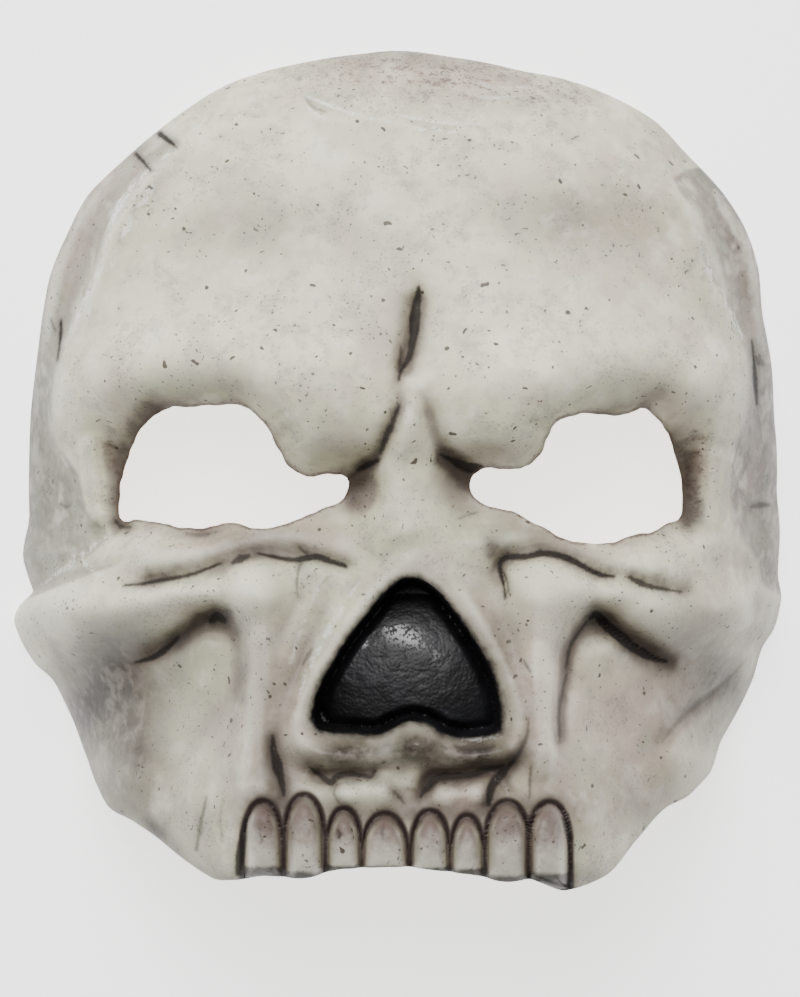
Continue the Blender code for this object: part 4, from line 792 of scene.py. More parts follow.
def nose_hollow(x, y):
    """The nose hollow: a steep side, then a floor that swells forward over the wearer's nose."""
    distance = outside(NOSE_LINE, x, y)
    middle_x, middle_y, width, height, _ = NOSE_HOLLOW
    a = (x - middle_x * HALF_WIDTH - 0.03 * width) / (0.52 * width)
    b = (y - middle_y * HALF_HEIGHT + 0.12 * height) / (0.50 * height)
    swell = NOSE_DOME * np.sqrt(np.clip(1 - a * a - b * b, 0, 1)) * eased(-distance / (2 * NOSE_WALL_RUN))
    return (swell - NOSE_DEPTH) * eased(-distance / NOSE_WALL_RUN)


def teeth(x, y):
    """Pointed arches for roots and straight sides below, each raised inside a groove."""
    total = np.zeros(x.shape)
    groove = np.zeros(x.shape)
    for middle, half, root, tip in TEETH:
        across = np.abs(x / HALF_WIDTH - middle) / half
        top = root - TOOTH_ARCH * (1 - np.sqrt(1 - np.minimum(across, 1.0) ** 2))
        side = half * HALF_WIDTH * (1 - across)
        down = (top - y / HALF_HEIGHT) * HALF_HEIGHT * 0.8
        up = (y / HALF_HEIGHT - tip) * HALF_HEIGHT + TOOTH_ROUND
        inside = np.minimum(np.minimum(side, down), up)
        total = np.maximum(total, TOOTH_RISE * np.sqrt(eased(inside / TOOTH_ROUND)))
        groove = np.maximum(groove, np.exp(-((inside / GROOVE_REACH) ** 2)))
    return total - TOOTH_GROOVE * groove


def grounded(x, y):
    """1 where the mask's edge lies on the floor, 0 where it stands clear of it."""
    _, lift, _ = edge_at(np.arctan2(y, x))
    return 1 - eased(lift / (0.15 * FACE_DEPTH))


def skin_height(x, y):
    """Height of the outer skin over the face's own X and Y."""
    height, share = dome(x, y)
    forms = sum(mound(x, y, row) for row in MOUNDS) + sum(ridge(x, y, row) for row in RIDGES)
    forms = forms - sockets(x, y) + nose_hollow(x, y) + teeth(x, y)
    return height + forms * (1 - grounded(x, y) * (1 - eased((1 - share) / 0.10)))


def lattice_noise(x, y, cell, seed):
    """Smooth noise from -1 to 1: random numbers on a square lattice, eased between its corners."""
    table = np.random.default_rng(seed).uniform(-1, 1, (64, 64))
    across, up = x / cell + 512.3, y / cell + 512.7
    column, row = np.floor(across).astype(int), np.floor(up).astype(int)
    a, b = eased(across - column), eased(up - row)
    corner = [table[(row + j) % 64, (column + i) % 64] for j in (0, 1) for i in (0, 1)]
    return (corner[0] * (1 - a) + corner[1] * a) * (1 - b) + (corner[2] * (1 - a) + corner[3] * a) * b


def roughened(line, seed):
    """A closed outline whose points are pushed out and in, for a hole that was cut by hand."""
    line = evenly(line, CUT_STEP, closed=True)
    push = lattice_noise(line[:, 0], line[:, 1], 0.0036, seed)
    push += 0.5 * lattice_noise(line[:, 0], line[:, 1], 0.0018, seed + 1)
    return line + (beside(line, TORN_AMOUNT, closed=True) - line) * push[:, None]


def field_near(points, reach, x, y):
    """Which points lie near a drawn line, the line itself, and their distance to it and share along it."""
    line = drawn(np.array(points) / 1000, 4)
    low, high = line.min(axis=0) - reach, line.max(axis=0) + reach
    near = (x > low[0]) & (x < high[0]) & (y > low[1]) & (y < high[1])
    distance, along = nearest_on(line, x[near], y[near])
    return near, line, distance, along


def width_along(widths, along):
    """A line's half width in mm at shares along it, from its list of widths at even steps."""
    return np.interp(along, np.linspace(0, 1, len(widths)), widths)


def line_layers(rows):
    """Sorts painted lines into layers, so that those in one layer stay well apart from each other."""
    layers = []
    for row in rows:
        line = evenly(drawn(np.array(row[-1]) / 1000, 4), 0.001)
        for layer in layers:
            if min(np.hypot(*(line[:, None] - other).T).min() for _, other in layer) > LAYER_GAP:
                layer.append((row, line))
                break
        else:
            layers.append([(row, line)])
    return [[row for row, _ in layer] for layer in layers]


def layer_fields(rows, x, y):
    """For one layer: signed distance across its nearest line, run past the line's end, distance, half width.

    All are in mm. The distance across changes sign on the line, so that it stays true between the skin's
    points: the way from the nearest point on the line, turned into the line's own direction there.
    """
    across, past = np.full(x.shape, FAR), np.zeros(x.shape)
    nearest, width, strength = np.full(x.shape, FAR), np.zeros(x.shape), np.zeros(x.shape)
    for _, widths, darkness, *_, points in rows:
        near, line, distance, along = field_near(points, LINE_REACH, x, y)
        at = along * (len(line) - 1)
        start = np.clip(at.astype(int), 0, len(line) - 2)
        run = line[start + 1] - line[start]
        run /= np.hypot(run[:, 0], run[:, 1])[:, None]
        foot = line[start] + (line[start + 1] - line[start]) * (at - start)[:, None]
        away = np.column_stack([x[near], y[near]]) - foot
        rows_near = np.nonzero(near)[0]
        closer = distance * 1000 < nearest[near]
        put = rows_near[closer]
        nearest[put] = distance[closer] * 1000
        side = (run[:, 0] * away[:, 1] - run[:, 1] * away[:, 0]) * 1000
        ahead = (run[:, 0] * away[:, 0] + run[:, 1] * away[:, 1]) * 1000
        # At an inner bend the foot is a corner: the whole distance counts as across, on the side it lies.
        inner = (along > 0.0005) & (along < 0.9995)
        side = np.where(inner, np.copysign(distance * 1000, side), side)
        across[put], past[put] = side[closer], np.where(inner, 0.0, ahead)[closer]
        width[put] = width_along(widths, along)[closer]
        strength[put] = darkness
    return across, past, nearest, width, strength


def cut_depth(x, y):
    """How deep the painted lines are cut into the skin, in metres: depth * exp(-(distance / reach) ^ 2)."""
    cut = np.zeros(x.shape)
    for _, widths, _, depth, points in STROKES:
        near, _, distance, along = field_near(points, LINE_REACH, x, y)
        width = width_along(widths, along)
        groove = depth * np.minimum(width / 0.8, 1.0) * np.exp(-((distance * 1000 / (width + 0.75)) ** 2))
        cut[near] = np.maximum(cut[near], groove / 1000)
    return cut


def airbrush_and_shade(x, y):
    """Soft dark shade beside the lines and along the washes, partly paint from an airbrush and partly painted
    shade: strength * exp(-(distance / reach) ^ 2), one over another.
    """
    light = np.ones(x.shape)
    for _, widths, darkness, _, points in STROKES:
        near, _, distance, along = field_near(points, LINE_REACH, x, y)
        reach = width_along(widths, along) + 1.0
        light[near] *= 1 - 0.5 * darkness * np.exp(-((distance * 1000 / reach) ** 2))
    for _, reach, strength, points in WASHES:
        near, _, distance, _ = field_near(points, WASH_REACH, x, y)
        light[near] *= 1 - strength * np.exp(-((distance * 1000 / reach) ** 2))
    return 1 - light


def patch_strength(x, y, patches):
    """Strength of one thin colour: 1 - the product of 1 - strength * exp(-distance ^ 2) over its patches."""
    total = np.zeros(x.shape)
    for _, *ellipse, strength in patches:
        total = 1 - (1 - total) * (1 - strength * np.exp(-turned(x * 1000, y * 1000, *ellipse)))
    return total


def forms(x, y):
    """Smaller forms than the model's, in metres: bells over turned ellipses, and bells across drawn lines."""
    rise = np.zeros(x.shape)
    for _, *ellipse, height in BULGES:
        rise += height / 1000 * np.exp(-(turned(x * 1000, y * 1000, *ellipse) ** 1.2))
    for _, height, breadth, points in FOLDS:
        near, _, distance, along = field_near(points, FOLD_REACH, x, y)
        fade = 0.25 + 0.75 * eased(np.minimum(along, 1 - along) / 0.2)
        rise[near] += height / 1000 * fade * np.exp(-((distance * 1000 / breadth) ** 2))
    return rise


def side_planes(x, y):
    """Distance inside either temple plane in mm, negative on the face."""
    lines = (drawn(np.array(plane) / 1000, 3, closed=True) for plane in SIDE_PLANES)
    return np.maximum(*(-outside(line, x, y) for line in lines)) * 1000


def tooth_places(x, y):
    """The distance inside the nearest tooth in mm, negative between teeth, and how far down it, from 0 to 1.

    A tooth is half an ellipse standing on straight sides, and ring is 1 on its outline: the distance is
    (1 - ring) divided by how steeply ring climbs there.
    """
    inside, level = np.full(x.shape, -FAR), np.zeros(x.shape)
    arch = TOOTH_ARCH * HALF_HEIGHT
    for middle, half, root, tip in TEETH:
        width = half * HALF_WIDTH
        across = (x - middle * HALF_WIDTH) / width
        above = np.maximum((y - root * HALF_HEIGHT) / arch + 1, 0)
        ring = np.hypot(across, above)
        depth = (1 - ring) * ring / (np.hypot(across / width, above / arch) + 1e-6)
        depth = np.minimum(depth, y - tip * HALF_HEIGHT + TOOTH_ROUND) * 1000
        level = np.where(depth > inside, np.clip((root - y / HALF_HEIGHT) / (root - tip), 0, 1), level)
        inside = np.maximum(inside, depth)
    return inside, level


def fine_height(x, y):
    """Height of the finished skin: the model's, then smaller forms, tooth crowns, lumps and cut lines."""
    share = np.hypot(x, y) / edge_at(np.arctan2(y, x))[0]
    inner = 1 - grounded(x, y) * (1 - eased((1 - share) / 0.08))
    lumps = sum(height * lattice_noise(x, y, cell, seed) for height, cell, seed in LUMPS)
    tooth, _ = tooth_places(x, y)
    crown = TOOTH_CROWN * np.sqrt(eased(tooth / 4.8)) - 0.0006 * np.exp(-((tooth / 1.4) ** 2))
    behind = side_planes(x, y)
    step = SIDE_STEP * eased((behind + 1.2) / 3.6) - 0.0006 * np.exp(-(((behind + 2.2) / 2.4) ** 2))
    step *= eased((1 - share) / 0.05)
    return skin_height(x, y) + (forms(x, y) + crown + lumps - step - cut_depth(x, y)) * inner


class Raster:
    """Values over a regular raster of the face's X and Y."""

    def __init__(self, function):
        self.low = np.array([-1.06 * HALF_WIDTH, -1.08 * HALF_HEIGHT])
        columns = int(2.12 * HALF_WIDTH / RASTER_STEP) + 1
        rows = int(2.16 * HALF_HEIGHT / RASTER_STEP) + 1
        across = self.low[0] + RASTER_STEP * np.arange(columns)
        up = self.low[1] + RASTER_STEP * np.arange(rows)
        self.values = function(*np.meshgrid(across, up))

    def at(self, x, y, values=None):
        """Reads values between the raster's points, in a straight line each way."""
        values = self.values if values is None else values
        across = np.clip((x - self.low[0]) / RASTER_STEP, 0, values.shape[1] - 1.001)
        up = np.clip((y - self.low[1]) / RASTER_STEP, 0, values.shape[0] - 1.001)
        column, row = across.astype(int), up.astype(int)
        a, b = across - column, up - row
        below = values[row, column] * (1 - a) + values[row, column + 1] * a
        above = values[row + 1, column] * (1 - a) + values[row + 1, column + 1] * a
        return below * (1 - b) + above * b

    def worn(self, radius):
        """The height worn down by a ball: the least of height - sqrt(radius^2 - distance^2) around."""
        reach = int(radius / RASTER_STEP)
        lowest = self.values - radius
        for down in range(-reach, reach + 1):
            for right in range(-reach, reach + 1):
                distance = RASTER_STEP * math.hypot(down, right)
                if 0 < distance < radius:
                    moved = np.roll(self.values, (down, right), axis=(0, 1))
                    lowest = np.minimum(lowest, moved - math.sqrt(radius**2 - distance**2))
        return lowest

    def blurred(self, radius):
        """The height averaged with a bell of that radius."""
        reach = int(2.5 * radius / RASTER_STEP)
        weights = np.exp(-((np.arange(-reach, reach + 1) * RASTER_STEP / radius) ** 2))
        weights /= weights.sum()
        padded = np.pad(self.values, reach, mode="edge")
        width, height = self.values.shape[1], self.values.shape[0]
        across = sum(weight * padded[:, k : k + width] for k, weight in enumerate(weights))
        return sum(weight * across[k : k + height] for k, weight in enumerate(weights))


def face_grid():
    """A square grid laid over the outline: squeezed into a disc, then stretched to the edge's radius."""
    across, up = np.meshgrid(np.linspace(-1, 1, COLUMNS + 1), np.linspace(-1, 1, ROWS + 1))
    # Closer columns in the middle and closer rows near the teeth
    across = 0.80 * across + 0.20 * across**3
    up = up - 0.10 * (1 - up * up)
    disc_x, disc_y = across * np.sqrt(1 - up * up / 2), up * np.sqrt(1 - across * across / 2)
    share = np.hypot(disc_x, disc_y)
    share = 0.66 * share + 0.34 * np.sin(share * math.pi / 2)
    # The grid's lower corners go to the two ends of the tooth row.
    turns = through((-180, -135, -90, -45, 0, 45, 90, 135, 180), (-180, -115, -90, -64, 0, 43, 90, 137, 180),
                    np.degrees(np.arctan2(disc_y, disc_x)))
    angle = np.radians(turns)
    radius, _, _ = edge_at(angle)
    return share * radius * np.cos(angle), share * radius * np.sin(angle)


def foot_on(line, x, y):
    """The nearest point on a closed line to each point."""
    _, along = nearest_on(line, x, y, closed=True)
    at = along * len(line)
    start = np.clip(at.astype(int), 0, len(line) - 1)
    share = (at - start)[:, None]
    return line[start] * (1 - share) + line[(start + 1) % len(line)] * share


def snapped(x, y, line):
    """Moves the nearer end of each grid edge that crosses a closed line onto it, and gives points' sides."""
    side = np.full(x.shape, 1.0)
    low, high = line.min(axis=0) - 0.004, line.max(axis=0) + 0.004
    near = (x > low[0]) & (x < high[0]) & (y > low[1]) & (y < high[1])
    side[near] = outside(line, x[near], y[near])
    moves = np.zeros(x.shape, bool)
    for first, second in (((slice(None), slice(None, -1)), (slice(None), slice(1, None))),
                          ((slice(None, -1), slice(None)), (slice(1, None), slice(None)))):
        crosses = side[first] * side[second] < 0
        nearer = np.abs(side[first]) <= np.abs(side[second])
        moves[first] |= crosses & nearer
        moves[second] |= crosses & ~nearer
    x, y = x.copy(), y.copy()
    x[moves], y[moves] = foot_on(line, x[moves], y[moves]).T
    return x, y, np.where(moves, 0.0, side)


def skin_triangles(sides):
    """Two triangles a cell, split so that none lies on both sides of a line, and none in an eye hole."""
    index = np.arange((ROWS + 1) * (COLUMNS + 1)).reshape(ROWS + 1, COLUMNS + 1)
    corners = (index[:-1, :-1], index[:-1, 1:], index[1:, 1:], index[1:, :-1])
    a, b, c, d = (corner.ravel() for corner in corners)
    split_bd = np.zeros(a.shape, bool)
    for side in sides:
        flat = side.ravel()
        split_bd |= flat[a] * flat[c] < 0
    first = np.where(split_bd[:, None], np.column_stack([a, b, d]), np.column_stack([a, b, c]))
    second = np.where(split_bd[:, None], np.column_stack([b, c, d]), np.column_stack([a, c, d]))
    triangles = np.vstack([first, second])
    for side in sides[:2]:
        triangles = triangles[side.ravel()[triangles].max(axis=1) > 0]
    return triangles


def open_edges(triangles, count):
    """Directed edges that only one triangle has: the mask's edge and the rims of its eye holes."""
    edges = np.vstack([triangles[:, [0, 1]], triangles[:, [1, 2]], triangles[:, [2, 0]]])
    forward, backward = edges[:, 0] * count + edges[:, 1], edges[:, 1] * count + edges[:, 0]
    return edges[~np.isin(forward, backward)]


def inner_places(x, y):
    """Where the inner skin's points lie: under the outer ones, but drawn in near the edge by the wall."""
    radius, _, _ = edge_at(np.arctan2(y, x))
    share = np.hypot(x, y) / radius
    draw_in = WALL * (0.35 + 0.75 * grounded(x, y)) * eased((share - 0.86) / 0.14)
    scale = 1 - draw_in / radius
    return x * scale, y * scale


def inner_net(x, y, edges, holes):
    """The inner skin's points and triangles: its edges match the outer skin's, with wider steps between."""
    rim = np.unique(edges)
    rim_x, rim_y = inner_places(x[rim], y[rim])
    place = np.zeros(len(x), int)
    place[rim] = np.arange(len(rim))
    across = np.arange(-HALF_WIDTH, HALF_WIDTH, INNER_STEP)
    up = np.arange(-HALF_HEIGHT, HALF_HEIGHT, INNER_STEP * 0.866)
    fill_x, fill_y = np.meshgrid(across, up)
    fill_x[::2] += INNER_STEP / 2
    fill_x, fill_y = fill_x.ravel(), fill_y.ravel()
    inside = np.hypot(fill_x, fill_y) < edge_at(np.arctan2(fill_y, fill_x))[0] - 1.9 * WALL
    for line in holes:
        inside &= outside(line, fill_x, fill_y) > 0.0012
    fill_x, fill_y = fill_x[inside], fill_y[inside]
    points = np.column_stack([np.append(rim_x, fill_x), np.append(rim_y, fill_y)])
    found, _, faces, _, _, _ = delaunay_2d_cdt(points.tolist(), place[edges].tolist(), [], 0, 1e-9, True)
    if len(found) != len(points):
        raise RuntimeError("the inner skin's edge crosses itself")
    triangles = np.array([tuple(face) for face in faces])
    middle = points[triangles].mean(axis=1)
    loops = points[place[edges]]
    spans = (loops[:, 0, 1] > middle[:, 1, None]) != (loops[:, 1, 1] > middle[:, 1, None])
    rise = np.where(spans, loops[:, 1, 1] - loops[:, 0, 1], 1.0)
    reached = middle[:, 0, None] < loops[:, 0, 0] + (middle[:, 1, None] - loops[:, 0, 1]) * (
        loops[:, 1, 0] - loops[:, 0, 0]) / rise
    kept = (spans & reached).sum(axis=1) % 2 == 1
    return points, triangles[kept], rim


def leant(points):
    """Turns the face about X so that the plane of its rim becomes the floor."""
    cosine, sine = math.cos(RIM_LEAN), math.sin(RIM_LEAN)
    x, y, z = np.asarray(points).T
    return np.column_stack([x, y * cosine + z * sine, z * cosine - y * sine])


def outline_middle():
    """The middle of the finished mask's width and length over the floor, which is the model's origin."""
    angle = np.linspace(-math.pi, math.pi, 2000)
    radius, lift, _ = edge_at(angle)
    x, y = radius * np.cos(angle), radius * np.sin(angle)
    points = leant(np.column_stack([x, y, RIM_SLOPE * y + lift]))
    return np.append((points.min(axis=0) + points.max(axis=0))[:2] / 2, 0.0)


MIDDLE = outline_middle()
DARK_LAYERS = line_layers(STROKES)
PALE_LAYERS = line_layers(WRINKLES)
# What each layer of lines stores, with its value where no line is near
LINE_FIELDS = {"across": FAR, "past": 0, "apart": FAR, "breadth": 0, "darkness": 0}


def attribute(mesh, name, values):
    """Stores one number for each point of a mesh."""
    layer = mesh.attributes.new(name, "FLOAT", "POINT")
    layer.data.foreach_set("value", np.asarray(values, np.float32))


def triangle_mesh(name, points, faces):
    """A mesh of triangles, smooth but for edges over 62 degrees."""
    mesh = bpy.data.meshes.new(name)
    mesh.vertices.add(len(points))
    mesh.vertices.foreach_set("co", points.ravel())
    mesh.loops.add(faces.size)
    mesh.loops.foreach_set("vertex_index", faces.ravel())
    mesh.polygons.add(len(faces))
    mesh.polygons.foreach_set("loop_start", np.arange(0, faces.size, 3))
    mesh.update(calc_edges=True)
    mesh.shade_smooth()
    mesh.set_sharp_from_angle(angle=math.radians(62))
    return mesh


def paint_fields(x, y, body, holes, nose_line):
    """What the paint reads at the outer points, in mm, and the value that stands for it on the inner skin.

    The reliefs are the height less its mean over a narrow and a wide bell: below 0 in hollows.
    """
    tooth, level = tooth_places(x, y)
    height = body.at(x, y)
    near_relief = (height - body.at(x, y, body.blurred(0.0030))) * 1000
    far_relief = (height - body.at(x, y, body.blurred(0.0085))) * 1000
    fields = {
        "tooth": (np.clip(tooth, -4, 8), -4),
        "tooth_level": (level, 0),
        "shade": (airbrush_and_shade(x, y), 0),
        "nose": (outside(nose_line, x, y) * 1000, 40),
        "near_relief": (np.clip(near_relief, -3, 3), 0),
        "far_relief": (np.clip(far_relief, -6, 6), 0),
        "eye_rim": (np.minimum(*(outside(line, x, y) for line in holes)) * 1000, 40),
        "side_plane": (np.clip(side_planes(x, y), -6, 6), -6),
        "inside": (np.zeros(len(x)), 1),
    }
    for colour, patches in PATCHES.items():
        fields[colour] = (patch_strength(x, y, patches), 0)
    for number, rows in enumerate(DARK_LAYERS + PALE_LAYERS):
        for (name, unpainted), values in zip(LINE_FIELDS.items(), layer_fields(rows, x, y)):
            fields[f"{name}_{number}"] = (values, unpainted)
    return fields


def mask_skin(paint):
    """The finished mask: outer skin, inner skin and the cut edges between, with its paint as attributes."""
    holes = [roughened(line, seed) for line, seed in zip(EYE_LINES, (11, 12))]
    x, y = face_grid()
    sides = []
    nose_line = evenly(NOSE_LINE, CUT_STEP, closed=True)
    nose_foot = beside(evenly(NOSE_LINE, 0.0020, closed=True), NOSE_WALL_RUN, closed=True)
    for line in (*holes, nose_line, evenly(nose_foot, CUT_STEP, closed=True)):
        x, y, side = snapped(x, y, line)
        sides.append(side)
    triangles = skin_triangles(sides)
    x, y = x.ravel(), y.ravel()
    edges = open_edges(triangles, len(x))
    outer_z = fine_height(x, y)

    body = Raster(lambda across, up: skin_height(across, up) + forms(across, up))
    worn = body.worn(WALL)
    inner_points, inner_triangles, rim = inner_net(x, y, edges, holes)
    inner_x, inner_y = inner_points.T
    inner_z = body.at(inner_x, inner_y, worn)
    inner_z = np.minimum(inner_z, body.at(inner_x, inner_y) - THIN_WALL)
    inner_z[: len(rim)] = np.minimum(inner_z[: len(rim)], outer_z[rim] - THIN_WALL)

    outer = leant(np.column_stack([x, y, outer_z]))
    inner = leant(np.column_stack([inner_x, inner_y, inner_z]))
    on_floor = grounded(inner_x, inner_y)
    above = body.at(inner_x, inner_y)
    lowest = 0.55 * leant(np.column_stack([inner_x, inner_y, above]))[:, 2]
    lowest[: len(rim)] = 0.55 * outer[rim, 2]
    inner[:, 2] = np.maximum(inner[:, 2], lowest * on_floor)
    at_edge = np.hypot(x, y) > 0.9995 * edge_at(np.arctan2(y, x))[0]
    flat = at_edge & (grounded(x, y) > 0.999)
    outer[flat, 2] = 0.0
    inner[: len(rim)][flat[rim], 2] = 0.0

    used = np.unique(triangles)
    place = np.full(len(x), -1)
    place[used] = np.arange(len(used))
    place_in = np.full(len(x), -1)
    place_in[rim] = len(used) + np.arange(len(rim))
    start, end = edges.T
    walls = np.vstack([np.column_stack([place[end], place[start], place_in[start]]),
                       np.column_stack([place[end], place_in[start], place_in[end]])])
    faces = np.vstack([place[triangles], inner_triangles[:, ::-1] + len(used), walls])
    points = np.vstack([outer[used], inner]) - MIDDLE

    mesh = triangle_mesh("mask_skin", points, faces)
    for name, (values, unpainted) in paint_fields(x[used], y[used], body, holes, nose_line).items():
        attribute(mesh, name, np.append(values, np.full(len(inner), unpainted)))
    mesh.materials.append(paint)
    skin = bpy.data.objects.new("mask_skin", mesh)
    bpy.context.scene.collection.objects.link(skin)
    return skin


def tone(red, green, blue):
    """A colour in linear light from its 0 to 255 screen values."""
    def linear(level):
        level /= 255
        return level / 12.92 if level <= 0.04045 else ((level + 0.055) / 1.055) ** 2.4

    return (linear(red), linear(green), linear(blue), 1.0)


class Value:
    """A shader socket that arithmetic can be written on: each operation adds one Math node."""

    def __init__(self, paint, socket):
        self.paint = paint
        self.socket = socket

    def math(self, operation, first, second):
        """One Math node on two sockets or numbers."""
        return self.paint.node("ShaderNodeMath", {"operation": operation}, {0: first, 1: second})

    def __add__(self, other):
        return self.math("ADD", self, other)

    def __sub__(self, other):
        return self.math("SUBTRACT", self, other)

    def __mul__(self, other):
        return self.math("MULTIPLY", self, other)

    def __pow__(self, other):
        return self.math("POWER", self, other)

    def __rsub__(self, other):
        return self.math("SUBTRACT", other, self)

    __radd__ = __add__
    __rmul__ = __mul__

    def most(self, other):
        """The larger of the two."""
        return self.math("MAXIMUM", self, other)


class Paint:
    """A material's node tree, with one method that adds any node, and the colour painted so far."""

    def __init__(self, name):
        self.material = bpy.data.materials.new(name)
        self.material.use_nodes = True
        self.tree = self.material.node_tree
        self.shader = self.tree.nodes["Principled BSDF"]
        self.place = self.node("ShaderNodeTexCoord", {}, {}, "Object")

    def node(self, kind, settings, inputs, output=0):
        """Adds a node, sets its settings, then sets or links its sockets, and hands back one output."""
        node = self.tree.nodes.new(kind)
        for name, value in settings.items():
            setattr(node, name, value)
        self.fill(node, inputs)
        return Value(self, node.outputs[output])

    def fill(self, node, inputs):
        """Sets a node's sockets to numbers or colours, or links them to values."""
        for name, value in inputs.items():
            if isinstance(value, Value):
                self.tree.links.new(value.socket, node.inputs[name])
            else:
                node.inputs[name].default_value = value

    def read(self, name):
        """A point attribute."""
        return self.node("ShaderNodeAttribute", {"attribute_name": name}, {}, "Fac")

    def noise(self, size, detail, roughness=0.5, shift=0.0):
        """Noise from 0 to 1 whose features are about that size, in mm."""
        moved = self.node("ShaderNodeVectorMath", {"operation": "ADD"}, {0: self.place, 1: (shift,) * 3})
        sockets = {"Vector": moved, "Scale": 1000.0 / size, "Detail": detail, "Roughness": roughness}
        return self.node("ShaderNodeTexNoise", {}, sockets, "Fac")

    def step(self, value, low, high):
        """A smooth step from 0 at low to 1 at high."""
        inputs = {0: value, 1: low, 2: high, 3: 0.0, 4: 1.0}
        return self.node("ShaderNodeMapRange", {"interpolation_type": "SMOOTHSTEP"}, inputs)

    def mix(self, share, first, second):
        """The first colour turning into the second as the share goes to 1."""
        return self.node("ShaderNodeMix", {"data_type": "RGBA"}, {0: share, 6: first, 7: second}, 2)

    def coat(self, share, colour):
        """Lays a colour over what is painted so far."""
        self.colour = self.mix(share, self.colour, colour)

    def bump(self, height, distance, strength):
        """A finer surface than the mesh's, by the height in metres times the distance."""
        inputs = {"Height": height, "Distance": distance, "Strength": strength}
        return self.node("ShaderNodeBump", {}, inputs, "Normal")


def line_cover(p, number, wobble):
    """Coverage of one layer of painted lines: a smooth step of half width - distance from the line."""
    across, past, apart, breadth, darkness = (p.read(f"{name}_{number}") for name in LINE_FIELDS)
    distance = (across * across + past * past) ** 0.5
    by_the_line = p.step(apart - breadth, 1.2, 0.7)
    return p.step(breadth + wobble - distance, -0.42, 0.48) * darkness * by_the_line


